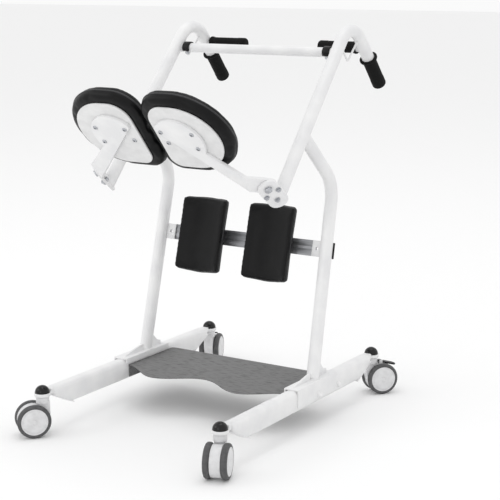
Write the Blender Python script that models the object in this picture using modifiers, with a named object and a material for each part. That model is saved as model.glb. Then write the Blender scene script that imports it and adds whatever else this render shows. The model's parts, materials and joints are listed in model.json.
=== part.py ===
"""Sit to stand lift: two castered legs with a footplate between them, a leaning
side frame on each leg, a crossbar, knee pads and a seat whose halves swing open.

Metres, +Z up. The origin is on the floor under the middle of the lift. -Y is the
side where the patient steps in, +Y the carer's side, +X the patient's right.
"""

import math

import bmesh
import bpy
from mathutils import Matrix, Vector

# ---- driving dimensions -------------------------------------------------------
TRACK = 0.625             # between the caster stems, across
WHEELBASE = 0.866         # between the caster stems, front to back
GAP = 0.0003              # between pieces that touch

TUBE_RADIUS = 0.019       # uprights and arms
TUBE_WALL = 0.002
TUBE_SIDES = 16

LEG_WIDTH = 0.040
LEG_HEIGHT = 0.064
LEG_TOP = 0.137
LEG_WALL = 0.0025
LEG_CORNER = 0.012
LEG_END_INSET = 0.034     # from the stem's axis to the end of the leg tube
LEG_CUT_LENGTH = 0.085    # the sloped cut under each end, along the leg
LEG_LIP = 0.021           # height of tube left above the sloped cut

SOCKET_RADIUS = 0.024     # upright sleeve that holds a caster's stem
SOCKET_BOTTOM = 0.1185
SOCKET_TOP = 0.1285
SOCKET_NECK_WIDTH = 0.026
NECK_ROOT = 0.020         # how far the socket's neck runs into the leg tube

WHEEL_RADIUS = 0.050
WHEEL_WIDTH = 0.0185
HUB_BULGE = 0.0022
HOOD_WIDTH = 0.030
HOOD_RADIUS = 0.0455
WHEEL_CLEARANCE = 0.0008  # between a wheel and the hood
TRAIL = 0.030             # from the stem's axis to the axle
STEM_RADIUS = 0.0055
AXLE_RADIUS = 0.004
NECK_RADIUS = 0.0195
NECK_TOP = 0.1165
DOME_RADIUS = 0.022
DOME_CLEARANCE = 0.0008
PEDAL_LENGTH = 0.054      # from its hinge to its tip
PEDAL_WIDTH = 0.026
PEDAL_KNUCKLE = 0.014     # its width between the hood's ears
PEDAL_THICKNESS = 0.005
PEDAL_HINGE_HEIGHT = 0.1025
PEDAL_TILT = 15.0         # slope of the raised pedal, degrees
PEDAL_TRAVEL = 10.0       # how much further it tips when pressed
EAR_THICKNESS = 0.004

FRAME_LEAN = 0.0205       # the side frames lean inwards, metres per metre of height
UPRIGHT_FOOT_Y = 0.066
UPRIGHT_ANGLE = 13.6      # from plumb, towards +Y, degrees
UPRIGHT_KNEE_HEIGHT = 0.709
UPRIGHT_BEND = 0.100
ARM_FOOT_Y = -0.1163      # where the arm meets the hinge plate
ARM_FOOT_HEIGHT = 0.703
ARM_ANGLE = 48.2          # above level
ARM_PEAK_Y = 0.3217
HANDLE_ANGLE = 49.4       # below level
HANDLE_LENGTH = 0.278     # from the peak's corner to the tube's end
PEAK_BEND = 0.078
UPRIGHT_MEETS_ARM = 0.223 # along the arm from its foot

SADDLE_WALL = 0.004
SADDLE_FRONT = -0.062
SADDLE_REAR = 0.163
SADDLE_SKIRT = 0.048      # outer side plate, below the leg's top
SADDLE_LIP = 0.012        # inner side plate
GUSSET_THICKNESS = 0.006

PLATE_DROP = 0.017        # footplate's top below the legs' tops
PLATE_THICKNESS = 0.003
PLATE_REAR = 0.190
PLATE_FRONT = -0.118      # tips of its two lobes
PLATE_NOTCH = -0.052      # middle of its front edge
PLATE_FLANGE = 0.040
PLATE_FLANGE_FRONT = -0.060

CROSSBAR_RADIUS = 0.0145
CROSSBAR_SETBACK = 0.013  # from the arm's axis, towards the handles
CROSSBAR_ALONG_ARM = 0.533
CLIP_LENGTH = 0.024
CLIP_THICKNESS = 0.004

GRIP_LENGTH = 0.112       # sleeves on the handles' ends
GRIP_THICKNESS = 0.0025
GRIP_FLANGE = 0.0065
STUB_RADIUS = 0.014       # level handles that point inwards
STUB_BARE = 0.003         # left bare between the handle and its grip
STUB_ALONG_HANDLE = 0.124
STUB_GRIP_LENGTH = 0.128
STUB_GRIP_THICKNESS = 0.004

HOOK_RADIUS = 0.003
HOOK_ALONG_ARM = 0.556
HOOK_ALONG_HANDLE = 0.082
HOOK_Y = 0.299            # of its lowest point
HOOK_HEIGHT = 1.063
HOOK_BEND = 0.006

KNEE_HEIGHT = 0.513       # middle of the knee bar
KNEE_TILT = 15.5          # of the knee bar and its pads from plumb, degrees
KNEE_PAD_WIDTH = 0.157
KNEE_PAD_HEIGHT = 0.222
KNEE_PAD_THICKNESS = 0.028
KNEE_PAD_RADIUS = 0.150   # of its hollow
KNEE_PAD_X = 0.1224
KNEE_STANDOFF = 0.010     # from the pad's shell to the knee bar
KNEE_PLATE_THICKNESS = 0.003
KNEE_BAR_HEIGHT = 0.048
KNEE_BAR_THICKNESS = 0.005
KNEE_BAR_SHORT = 0.023    # between the bar's end and the upright's axis
KNEE_BAR_SETBACK = 0.010  # behind the uprights' axes
KNEE_HOLE_INSET = 0.011   # from the bar's end to its bolt hole
KNEE_HOLE_RADIUS = 0.005
KNEE_TAB_LAP = 0.027      # length of the tab that lies on the bar
KNEE_TAB_THICKNESS = 0.004

SEAT_Y = -0.304           # middle of the cushions' underside
SEAT_HEIGHT = 0.890
SEAT_TILT = 50.0          # slope of the seat, degrees
CUSHION_THICKNESS = 0.050
CUSHION_INNER = 0.006     # from the middle plane to a cushion's straight side
CUSHION_OUTER = 0.266
CUSHION_HALF_DEPTH = 0.1425
CUSHION_EDGE = 0.012
BOARD_INSET = 0.032
BOARD_THICKNESS = 0.006
SEAT_ARM_THICKNESS = 0.010
SEAT_ARM_WIDTH = 0.050
PADDLE_RADIUS = 0.080
PADDLE_X = 0.108
PADDLE_S = -0.003         # up the slope
PADDLE_EDGE = 0.0232      # from its round part's centre to its straight inner edge
PADDLE_CORNER = 0.012
PADDLE_SHOULDER = -31.0   # where the bar's outer edge leaves the round part, degrees
SEAT_PIVOT_X = 0.304      # in the flat blank, before the bend
SEAT_PIVOT_S = -0.202
SEAT_BEND_X = 0.264
SEAT_BEND_S = -0.155
SEAT_BEND_SKEW = 11.5     # of the bend line from the slope, degrees
SEAT_BEND_ANGLE = 42.0
LUG_RADIUS = 0.029
LUG_SWEEP = 62.0          # half of the lug's round end, degrees
LUG_ROOT = 0.8            # where its sides turn straight, as a share of its radius
HINGE_PLATE_THICKNESS = 0.008
HINGE_PLATE_RADIUS = 0.029
PIVOT_RADIUS = 0.006
PIVOT_HEX_RADIUS = 0.0115
PIVOT_HEAD = 0.007
PIVOT_NUT = 0.010

# ---- places worked out from them ----------------------------------------------
HALF_TRACK = TRACK / 2
HALF_BASE = WHEELBASE / 2
LEG_BOTTOM = LEG_TOP - LEG_HEIGHT
SADDLE_TOP = LEG_TOP + GAP + SADDLE_WALL

# heading of each caster's trail, degrees from +X, and whether it has a brake
CASTERS = {
    "front_left": (-1, -1, -130.3, False),
    "front_right": (1, -1, -69.3, False),
    "rear_left": (-1, 1, 110.7, True),
    "rear_right": (1, 1, 49.7, True),
}


# ---- scene --------------------------------------------------------------------
for old in list(bpy.data.objects):
    bpy.data.objects.remove(old, do_unlink=True)


def new_collection(name):
    collection = bpy.data.collections.new(name)
    bpy.context.scene.collection.children.link(collection)
    return collection


PARTS = new_collection("sit_to_stand_lift")
CUTTERS = new_collection("cutters")


def new_material(name, colour, roughness, metallic=0.0):
    material = bpy.data.materials.new(name)
    material.use_nodes = True
    shader = material.node_tree.nodes["Principled BSDF"]
    shader.inputs["Base Color"].default_value = (*colour, 1.0)
    shader.inputs["Roughness"].default_value = roughness
    shader.inputs["Metallic"].default_value = metallic
    material.diffuse_color = (*colour, 1.0)
    return material


WHITE_PAINT = new_material("white_powder_coat", (0.84, 0.84, 0.85), 0.35)
GREY_PLATE = new_material("grey_grip_coating", (0.16, 0.16, 0.165), 0.75)
BLACK_FOAM = new_material("black_foam_rubber", (0.012, 0.012, 0.013), 0.7)
BLACK_VINYL = new_material("black_vinyl", (0.010, 0.010, 0.011), 0.45)
BLACK_PLASTIC = new_material("black_plastic", (0.010, 0.010, 0.012), 0.25)
GREY_TYRE = new_material("grey_tyre_rubber", (0.09, 0.09, 0.095), 0.6)
WHITE_PLASTIC = new_material("light_grey_plastic", (0.68, 0.68, 0.69), 0.4)
BARE_STEEL = new_material("zinc_plated_steel", (0.55, 0.56, 0.58), 0.3, 1.0)


# ---- tools --------------------------------------------------------------------
def move_to(obj, collection):
    for owner in list(obj.users_collection):
        owner.objects.unlink(obj)
    collection.objects.link(obj)


def evaluated_mesh(obj):
    """Returns the mesh that the viewport shows, in the object's own space."""
    bpy.context.view_layer.update()
    graph = bpy.context.evaluated_depsgraph_get()
    mesh = bpy.data.meshes.new_from_object(obj.evaluated_get(graph))
    work = bmesh.new()
    work.from_mesh(mesh)
    bmesh.ops.remove_doubles(work, verts=work.verts, dist=0.000005)
    work.to_mesh(mesh)
    work.free()
    return mesh


def as_mesh(obj):
    """Turns a curve, or an object with modifiers, into a plain mesh object."""
    mesh = evaluated_mesh(obj)
    plain = bpy.data.objects.new(obj.name, mesh)
    plain.matrix_world = obj.matrix_world.copy()
    CUTTERS.objects.link(plain)
    bpy.data.objects.remove(obj, do_unlink=True)
    return plain


def finish(obj, name, material, smooth_angle=35.0):
    """Names a sub-part, gives it its material and moves it in with the parts."""
    obj.name = name
    obj.data.name = name
    obj.data.materials.clear()
    obj.data.materials.append(material)
    move_to(obj, PARTS)
    obj.data.shade_smooth()
    obj.data.set_sharp_from_angle(angle=math.radians(smooth_angle))
    return obj


def boolean(target, tool, operation):
    """Cuts the tool from the target or joins it on, and keeps the tool as a guide."""
    step = target.modifiers.new(operation.lower(), "BOOLEAN")
    step.operation = operation
    step.object = tool
    tool.hide_render = True
    tool.display_type = "WIRE"
    tool.name = "guide_" + tool.name
    move_to(tool, CUTTERS)


def cut(target, *tools):
    for tool in tools:
        boolean(target, tool, "DIFFERENCE")
    return target


def join(target, *tools):
    for tool in tools:
        boolean(target, tool, "UNION")
    return target


def box(low, high, matrix=None):
    """A block between two corners."""
    low, high = Vector(low), Vector(high)
    bpy.ops.mesh.primitive_cube_add(size=1.0)
    obj = bpy.context.object
    middle = Matrix.Translation((low + high) / 2)
    obj.data.transform(middle @ Matrix.Diagonal((high - low).to_4d()))
    if matrix is not None:
        obj.matrix_world = matrix
    return obj


def cylinder(radius, low, high, matrix=None, sides=24):
    """A cylinder on the local Z axis from one height to another."""
    bpy.ops.mesh.primitive_cylinder_add(vertices=sides, radius=radius, depth=high - low)
    obj = bpy.context.object
    obj.data.transform(Matrix.Translation((0, 0, (low + high) / 2)))
    if matrix is not None:
        obj.matrix_world = matrix
    return obj


def turned(profile, matrix=None, sides=24):
    """Turns a profile of (radius, height), listed top to bottom, about local Z."""
    mesh = bpy.data.meshes.new("turned")
    points = [(radius, 0.0, height) for radius, height in profile]
    mesh.from_pydata(points, [(i, i + 1) for i in range(len(points) - 1)], [])
    obj = bpy.data.objects.new("turned", mesh)
    CUTTERS.objects.link(obj)
    screw = obj.modifiers.new("turn", "SCREW")
    screw.steps = sides
    screw.render_steps = sides
    screw.use_merge_vertices = True
    screw.merge_threshold = 0.00001
    if matrix is not None:
        obj.matrix_world = matrix
    return obj


def frame_from(origin, x_axis, z_axis):
    """A placement whose Z is z_axis and whose X is as near x_axis as that allows."""
    z_axis = Vector(z_axis).normalized()
    y_axis = z_axis.cross(Vector(x_axis)).normalized()
    x_axis = y_axis.cross(z_axis)
    turn = Matrix((x_axis, y_axis, z_axis)).transposed().to_4x4()
    return Matrix.Translation(origin) @ turn


def between(start, end):
    """A placement at start whose Z runs to end, and the distance."""
    start, end = Vector(start), Vector(end)
    along = end - start
    side = Vector((1, 0, 0)) if abs(along.normalized().x) < 0.9 else Vector((0, 1, 0))
    return frame_from(start, side, along), along.length


def round_corners(points, radius, steps):
    """Replaces the inner corners of a path by arcs."""
    points = [Vector(p) for p in points]
    path = [points[0]]
    for before, corner, after in zip(points, points[1:], points[2:]):
        back = (before - corner).normalized()
        ahead = (after - corner).normalized()
        half = back.angle(ahead) / 2
        reach = radius / math.tan(half)
        centre = corner + (back + ahead).normalized() * (radius / math.sin(half))
        start = corner + back * reach - centre
        end = corner + ahead * reach - centre
        sweep = start.angle(end)
        for i in range(steps + 1):
            t = i / steps
            blend = start * math.sin((1 - t) * sweep) + end * math.sin(t * sweep)
            path.append(centre + blend / math.sin(sweep))
    path.append(points[-1])
    return path


def rod(path, radius, sides=12, capped=True):
    """A round bar or the skin of a tube along a path."""
    curve = bpy.data.curves.new("rod", "CURVE")
    curve.dimensions = "3D"
    curve.bevel_depth = radius
    curve.bevel_resolution = (sides - 4) // 2
    curve.render_resolution_u = 0
    curve.use_fill_caps = capped
    spline = curve.splines.new("POLY")
    spline.points.add(len(path) - 1)
    for point, place in zip(spline.points, path):
        point.co = (*place, 1.0)
    obj = bpy.data.objects.new("rod", curve)
    CUTTERS.objects.link(obj)
    return as_mesh(obj)


def tube(path, radius, wall, sides=TUBE_SIDES):
    """A hollow tube, open at both ends."""
    obj = rod(path, radius, sides, capped=False)
    shell = obj.modifiers.new("wall", "SOLIDIFY")
    shell.thickness = wall
    shell.offset = -1.0
    shell.use_even_offset = True
    return as_mesh(obj)


def slab(outline, thickness, matrix=None, rounding=0.0):
    """A flat outline, thickened evenly to both sides of the local XY plane."""
    curve = bpy.data.curves.new("slab", "CURVE")
    curve.dimensions = "2D"
    curve.fill_mode = "BOTH"
    curve.extrude = thickness / 2 - rounding
    curve.bevel_depth = rounding
    curve.bevel_resolution = 1
    curve.offset = -rounding
    curve.render_resolution_u = 0
    spline = curve.splines.new("POLY")
    spline.points.add(len(outline) - 1)
    for point, place in zip(spline.points, outline):
        point.co = (place[0], place[1], 0.0, 1.0)
    spline.use_cyclic_u = True
    obj = bpy.data.objects.new("slab", curve)
    CUTTERS.objects.link(obj)
    if matrix is not None:
        obj.matrix_world = matrix
    return as_mesh(obj)


def arc(centre, radius, start, end, steps):
    """Points on an arc, angles in degrees."""
    points = []
    for i in range(steps + 1):
        angle = math.radians(start + (end - start) * i / steps)
        points.append((centre[0] + radius * math.cos(angle), centre[1] + radius * math.sin(angle)))
    return points


def mirrored(obj, name, material):
    """The left-hand copy of a right-hand piece."""
    mesh = evaluated_mesh(obj)
    mesh.transform(Matrix.Scale(-1.0, 4, (1, 0, 0)) @ obj.matrix_world)
    mesh.flip_normals()
    copy = bpy.data.objects.new(name, mesh)
    CUTTERS.objects.link(copy)
    return finish(copy, name, material)


def empty(name, matrix):
    obj = bpy.data.objects.new(name, None)
    obj.matrix_world = matrix
    obj.empty_display_size = 0.05
    PARTS.objects.link(obj)
    return obj


def parent(child, holder):
    bpy.context.view_layer.update()
    child.parent = holder
    child.matrix_parent_inverse = holder.matrix_world.inverted()


def frame_point(y, z):
    """A point on the middle plane of the right side frame."""
    return Vector((HALF_TRACK - FRAME_LEAN * z, y, z))


def along(start, angle, distance):
    """Goes a distance from (y, z) at an angle above level."""
    turn = math.radians(angle)
    return (start[0] + distance * math.cos(turn), start[1] + distance * math.sin(turn))


# ---- legs ---------------------------------------------------------------------
def rounded_rectangle(width, height, corner, steps=3):
    points = []
    for sx, sy, start in ((1, 1, 0), (-1, 1, 90), (-1, -1, 180), (1, -1, 270)):
        centre = (sx * (width / 2 - corner), sy * (height / 2 - corner))
        points += arc(centre, corner, start, start + 90, steps)
    return points


def leg(side):
    x = side * HALF_TRACK
    half = HALF_BASE - LEG_END_INSET
    middle = (LEG_TOP + LEG_BOTTOM) / 2
    lie = frame_from((x, 0, middle), (1, 0, 0), (0, -1, 0))
    body = slab(rounded_rectangle(LEG_WIDTH, LEG_HEIGHT, LEG_CORNER), 2 * half, lie)
    bore = rounded_rectangle(LEG_WIDTH - 2 * LEG_WALL, LEG_HEIGHT - 2 * LEG_WALL, LEG_CORNER - LEG_WALL)
    cut(body, slab(bore, 2 * half + 0.02, lie))
    cut_depth = LEG_HEIGHT - LEG_LIP
    slope = math.atan2(cut_depth, LEG_CUT_LENGTH)
    for end in (-1, 1):
        lip = (x, end * half, LEG_BOTTOM + cut_depth)
        wedge = frame_from(lip, (1, 0, 0), (0, end * math.sin(slope), -math.cos(slope)))
        reach = 2 * LEG_CUT_LENGTH
        cut(body, box((-LEG_WIDTH, -reach, 0), (LEG_WIDTH, reach, 0.1), wedge))
    for end in (-1, 1):
        stem = end * HALF_BASE
        root = end * (half - NECK_ROOT)
        edge = end * (HALF_BASE - DOME_RADIUS - DOME_CLEARANCE)
        neck = box((x - SOCKET_NECK_WIDTH / 2, min(root, edge), SOCKET_BOTTOM + 0.0002),
                   (x + SOCKET_NECK_WIDTH / 2, max(root, edge), LEG_TOP - LEG_WALL / 2))
        lower = box((x - SOCKET_NECK_WIDTH / 2 + 0.001, min(stem, root), SOCKET_BOTTOM + 0.0006),
                    (x + SOCKET_NECK_WIDTH / 2 - 0.001, max(stem, root), SOCKET_TOP - 0.0006))
        join(body, neck, lower)
        place = Matrix.Translation((x, stem, 0))
        join(body, cylinder(SOCKET_RADIUS, SOCKET_BOTTOM, SOCKET_TOP, place, 28))
    for end in (-1, 1):
        place = Matrix.Translation((x, end * HALF_BASE, 0))
        cut(body, cylinder(STEM_RADIUS + GAP, 0.0, 0.5, place, 16))
    return body


finish(leg(-1), "left_leg", WHITE_PAINT)
finish(leg(1), "right_leg", WHITE_PAINT)


# ---- casters ------------------------------------------------------------------
def hood(braked):
    """The stem, neck and body between a caster's wheels, with ears for a brake; +X is its trail."""
    stand = frame_from((0, 0, 0), (1, 0, 0), (0, -1, 0))
    disc = arc((TRAIL, WHEEL_RADIUS), HOOD_RADIUS, 118, -180, 20)
    outline = [(-NECK_RADIUS, 0.066), (-NECK_RADIUS, NECK_TOP - 0.012),
               (NECK_RADIUS * 0.6, NECK_TOP - 0.012)] + disc
    body = slab(outline, HOOD_WIDTH, stand)
    join(body, cylinder(NECK_RADIUS, NECK_TOP - 0.018, NECK_TOP, None, 20))
    join(body, cylinder(STEM_RADIUS, NECK_TOP - 0.004, SOCKET_TOP - GAP, None, 12))
    if braked:
        pressed = Matrix.Rotation(math.radians(PEDAL_TILT + PEDAL_TRAVEL), 4, "Y")
        room = Matrix.Translation((TRAIL, 0, PEDAL_HINGE_HEIGHT)) @ pressed
        cut(body, box((-0.002, -0.03, -PEDAL_THICKNESS / 2 - 0.0008), (0.06, 0.03, 0.03), room))
        for sign in (-1, 1):
            inner = sign * (PEDAL_KNUCKLE / 2 + GAP)
            outer = inner + sign * EAR_THICKNESS
            ear = box((TRAIL - 0.005, min(inner, outer), WHEEL_RADIUS + 0.9 * HOOD_RADIUS),
                      (TRAIL + 0.005, max(inner, outer), PEDAL_HINGE_HEIGHT + 0.004))
            join(body, ear)
    across = frame_from((TRAIL, 0, WHEEL_RADIUS), (1, 0, 0), (0, 1, 0))
    cut(body, cylinder(AXLE_RADIUS + GAP, -0.1, 0.1, across, 12))
    return as_mesh(body)


def wheel():
    """A tyre moulded on its hub; local Z runs out from the hood along the axle."""
    bore = AXLE_RADIUS + GAP
    rim = WHEEL_RADIUS - 0.0035
    profile = [
        (0.0, WHEEL_WIDTH + HUB_BULGE),
        (0.6 * WHEEL_RADIUS, WHEEL_WIDTH + 0.8 * HUB_BULGE),
        (0.82 * WHEEL_RADIUS, WHEEL_WIDTH),
        (rim, WHEEL_WIDTH - 0.0005),
        (WHEEL_RADIUS, WHEEL_WIDTH - 0.0045),
        (WHEEL_RADIUS, 0.0045),
        (rim, 0.0005),
        (0.8 * WHEEL_RADIUS, 0.0),
        (bore, 0.0),
        (bore, 0.6 * WHEEL_WIDTH),
        (0.0, 0.6 * WHEEL_WIDTH),
    ]
    return as_mesh(turned(profile, None, 26))


def copy_mesh(source, matrix):
    obj = bpy.data.objects.new("copy", source.data.copy())
    obj.matrix_world = matrix @ source.matrix_world
    CUTTERS.objects.link(obj)
    return obj


def brake_pedal():
    """The lever over the hood's crown; its hinge is along local Y at the origin."""
    half = PEDAL_WIDTH / 2
    narrow = PEDAL_KNUCKLE / 2 - GAP
    outline = [(-0.006, -narrow), (0.009, -narrow), (0.016, -half), (PEDAL_LENGTH - half, -half)]
    outline += arc((PEDAL_LENGTH - half, 0.0), half, -72, 72, 6)
    outline += [(PEDAL_LENGTH - half, half), (0.016, half), (0.009, narrow), (-0.006, narrow)]
    return slab(outline, PEDAL_THICKNESS, None, 0.001)


hood_patterns = {False: hood(False), True: hood(True)}
wheel_pattern = wheel()
pedal_pattern = brake_pedal()
WHEEL_OFFSET = HOOD_WIDTH / 2 + WHEEL_CLEARANCE
AXLE_HALF = WHEEL_OFFSET + 0.5 * WHEEL_WIDTH

for corner, (side_x, side_y, heading, braked) in CASTERS.items():
    stem = Vector((side_x * HALF_TRACK, side_y * HALF_BASE, 0.0))
    turn = Matrix.Rotation(math.radians(heading), 4, "Z")
    placed = Matrix.Translation(stem) @ turn
    finish(copy_mesh(hood_patterns[braked], placed), f"{corner}_caster_hood", WHITE_PLASTIC)
    axle_place = placed @ frame_from((TRAIL, 0, WHEEL_RADIUS), (1, 0, 0), (0, 1, 0))
    finish(cylinder(AXLE_RADIUS, -AXLE_HALF, AXLE_HALF, axle_place, 12), f"{corner}_axle", BARE_STEEL)
    for hand, sign in (("a", 1), ("b", -1)):
        outwards = frame_from((TRAIL, sign * WHEEL_OFFSET, WHEEL_RADIUS), (1, 0, 0), (0, sign, 0))
        finish(copy_mesh(wheel_pattern, placed @ outwards), f"{corner}_wheel_{hand}", GREY_TYRE)
    crown = [(0.0, DOME_RADIUS)]
    crown += [(DOME_RADIUS * math.sin(math.radians(a)), DOME_RADIUS * math.cos(math.radians(a)))
              for a in (18, 36, 54, 72, 90)]
    crown += [(0.0, 0.0)]
    dome_place = Matrix.Translation(stem + Vector((0, 0, SOCKET_TOP + GAP)))
    finish(as_mesh(turned(crown, dome_place, 20)), f"{corner}_dome_cap", BLACK_PLASTIC)
    if braked:
        hinge = placed @ Matrix.Translation((TRAIL, 0, PEDAL_HINGE_HEIGHT))
        hinge = hinge @ Matrix.Rotation(math.radians(PEDAL_TILT), 4, "Y")
        finish(copy_mesh(pedal_pattern, hinge), f"{corner}_brake_pedal", BLACK_PLASTIC)

for pattern in (*hood_patterns.values(), wheel_pattern, pedal_pattern):
    bpy.data.objects.remove(pattern, do_unlink=True)


# ---- side frames --------------------------------------------------------------
arm_foot = (ARM_FOOT_Y, ARM_FOOT_HEIGHT)
peak_run = (ARM_PEAK_Y - ARM_FOOT_Y) / math.cos(math.radians(ARM_ANGLE))
arm_peak = along(arm_foot, ARM_ANGLE, peak_run)
handle_end = along(arm_peak, -HANDLE_ANGLE, HANDLE_LENGTH)
stub_length = TUBE_RADIUS + STUB_BARE + STUB_GRIP_LENGTH
arm_path = round_corners([frame_point(*arm_foot), frame_point(*arm_peak), frame_point(*handle_end)],
                         PEAK_BEND, 9)
arm_direction = (arm_path[1] - arm_path[0]).normalized()

square = math.radians(ARM_ANGLE)
on_arm = along(arm_foot, ARM_ANGLE, CROSSBAR_ALONG_ARM)
crossbar_place = (on_arm[0] + CROSSBAR_SETBACK * math.sin(square),
                  on_arm[1] - CROSSBAR_SETBACK * math.cos(square))

upright_foot = (UPRIGHT_FOOT_Y, SADDLE_TOP + GAP)
knee_run = (UPRIGHT_KNEE_HEIGHT - upright_foot[1]) / math.cos(math.radians(UPRIGHT_ANGLE))
upright_knee = along(upright_foot, 90 - UPRIGHT_ANGLE, knee_run)
upright_top = along(arm_foot, ARM_ANGLE, UPRIGHT_MEETS_ARM)
upright_path = round_corners([frame_point(*upright_foot), frame_point(*upright_knee),
                              frame_point(*upright_top)], UPRIGHT_BEND, 7)


def level_foot(path, radius, drop):
    """A block that trims a leaning tube's foot level."""
    foot = path[0]
    return box(foot + Vector((-2 * radius, -2 * radius, -drop)), foot + Vector((2 * radius, 2 * radius, 0)))


def upright():
    down = (upright_path[0] - upright_path[1]).normalized()
    path = [upright_path[0] + down * 0.012] + upright_path[1:]
    body = tube(path, TUBE_RADIUS, TUBE_WALL)
    cut(body, level_foot(upright_path, TUBE_RADIUS, 0.05))
    place, length = between(arm_path[0], arm_path[1])
    cut(body, cylinder(TUBE_RADIUS + GAP, 0.0, length, place, 32))
    return body


def stub_place():
    """The level handle's placement: Z points inwards from the handle tube's axis."""
    spot = along(arm_peak, -HANDLE_ANGLE, STUB_ALONG_HANDLE)
    return frame_from(frame_point(*spot), (0, 1, 0), (-1, 0, 0))


# ---- seat ---------------------------------------------------------------------
tilt = math.radians(SEAT_TILT)
# its local X runs across, Y up the slope and Z out of the cushions' underside
seat_under = Vector((0, -math.sin(tilt), -math.cos(tilt)))
seat_frame = frame_from((0, SEAT_Y, SEAT_HEIGHT), (1, 0, 0), seat_under)


def seat_level(height):
    return seat_frame @ Matrix.Translation((0, 0, height))


def half_seat(inset):
    """One half's outline: straight towards the middle plane, elliptical outside."""
    inner = CUSHION_INNER + inset
    half = CUSHION_HALF_DEPTH - inset
    centre = CUSHION_INNER + 0.110
    reach = CUSHION_OUTER - inset - centre
    points = []
    for i in range(15):
        angle = math.radians(-90 + 180 * i / 14)
        points.append((centre + reach * math.cos(angle), half * math.sin(angle)))
    top = 0.075 - inset * 0.6
    bottom = 0.052 - inset * 0.6
    points += arc((inner + top, half - top), top, 90, 180, 5)
    points += arc((inner + bottom, bottom - half), bottom, 180, 270, 5)
    return points


bend_skew = math.radians(SEAT_BEND_SKEW)
bend_middle = Vector((SEAT_BEND_X, SEAT_BEND_S, 0))
bend_across = Vector((math.cos(bend_skew), -math.sin(bend_skew), 0))
bend_line = Vector((math.sin(bend_skew), math.cos(bend_skew), 0))
fold = (Matrix.Translation(bend_middle)
        @ Matrix.Rotation(math.radians(SEAT_BEND_ANGLE), 4, bend_line)
        @ Matrix.Translation(-bend_middle))
blank_frame = seat_level(BOARD_THICKNESS + 2 * GAP + SEAT_ARM_THICKNESS / 2)
pivot_point = blank_frame @ fold @ Vector((SEAT_PIVOT_X, SEAT_PIVOT_S, 0))
hinge_axis = (blank_frame @ fold).to_3x3() @ Vector((0, 0, 1))  # points outwards and down


def seat_arm():
    """Paddle, bar and pivot lug, cut as one flat blank and bent once."""
    pivot = Vector((SEAT_PIVOT_X, SEAT_PIVOT_S))
    bar = (pivot - bend_middle.to_2d()).normalized()
    side = Vector((-bar.y, bar.x))
    heading = math.degrees(math.atan2(bar.y, bar.x))
    half = SEAT_ARM_WIDTH / 2
    paddle = Vector((PADDLE_X, PADDLE_S))
    inset = PADDLE_EDGE - PADDLE_CORNER
    reach = math.sqrt((PADDLE_RADIUS - PADDLE_CORNER) ** 2 - inset ** 2)
    corner = paddle - side * inset - bar * reach
    turn = math.degrees(math.atan2(corner.y - paddle.y, corner.x - paddle.x))
    inwards = math.degrees(math.atan2(-side.y, -side.x)) % 360
    root = pivot - bar * LUG_RADIUS * LUG_ROOT
    outline = arc(pivot, LUG_RADIUS, heading - LUG_SWEEP, heading + LUG_SWEEP, 8)
    outline.append(root + side * half)
    outline += arc(paddle, PADDLE_RADIUS, PADDLE_SHOULDER, turn, 14)
    outline += arc(corner, PADDLE_CORNER, turn, inwards, 5)
    outline.append(root - side * half)
    flat = slab(outline, 0.0)
    work = bmesh.new()
    work.from_mesh(flat.data)
    everything = work.verts[:] + work.edges[:] + work.faces[:]
    bmesh.ops.bisect_plane(work, geom=everything, plane_co=bend_middle, plane_no=bend_across)
    beyond = [v for v in work.verts if (v.co - bend_middle).dot(bend_across) > 0.00001]
    bmesh.ops.transform(work, matrix=fold, verts=beyond)
    work.to_mesh(flat.data)
    work.free()
    flat.matrix_world = blank_frame
    sheet = flat.modifiers.new("sheet", "SOLIDIFY")
    sheet.thickness = SEAT_ARM_THICKNESS
    sheet.offset = 0.0
    sheet.use_even_offset = True
    body = as_mesh(flat)
    place = frame_from(pivot_point, (1, 0, 0), hinge_axis)
    cut(body, cylinder(PIVOT_RADIUS + GAP, -0.05, 0.05, place, 16))
    return body


# the hinge plate lies on the lug's outer face and carries the arm tube's foot
plate_face = pivot_point + hinge_axis * (SEAT_ARM_THICKNESS / 2 + GAP)
arm_reach = (plate_face - arm_path[0]).dot(hinge_axis) / arm_direction.dot(hinge_axis)
arm_end = arm_path[0] + arm_direction * arm_reach
plate_run = arm_end - plate_face
plate_frame = frame_from(plate_face, plate_run, hinge_axis)


def hinge_plate():
    length = plate_run.length
    outline = arc((0, 0), HINGE_PLATE_RADIUS, 90, 270, 10) + arc((length, 0), HINGE_PLATE_RADIUS, -90, 90, 10)
    lie = plate_frame @ Matrix.Translation((0, 0, HINGE_PLATE_THICKNESS / 2))
    body = slab(outline, HINGE_PLATE_THICKNESS, lie)
    cut(body, cylinder(PIVOT_RADIUS + GAP, -0.05, 0.05, plate_frame, 16))
    return body


def pivot_bolt():
    head = HINGE_PLATE_THICKNESS + GAP
    nut = -SEAT_ARM_THICKNESS - 2 * GAP
    body = cylinder(PIVOT_RADIUS, nut - PIVOT_NUT, head + PIVOT_HEAD / 2, plate_frame, 16)
    join(body, cylinder(PIVOT_HEX_RADIUS, head, head + PIVOT_HEAD, plate_frame, 6))
    join(body, cylinder(PIVOT_HEX_RADIUS, nut - PIVOT_NUT, nut, plate_frame, 6))
    return body


def arm():
    """The arm, its peak and its handle in one bent tube, with the level stub welded on."""
    path = [arm_end - arm_direction * 0.03] + arm_path[1:]
    body = tube(path, TUBE_RADIUS, TUBE_WALL)
    reach = plate_run.length + 0.1
    cut(body, box((-0.1, -0.1, -GAP), (reach, 0.1, 0.1), plate_frame))
    place = stub_place()
    start = place @ Vector((0, 0, TUBE_RADIUS * 0.64))
    end = place @ Vector((0, 0, stub_length))
    join(body, tube([start, end], STUB_RADIUS, TUBE_WALL, 12))
    return body


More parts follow.
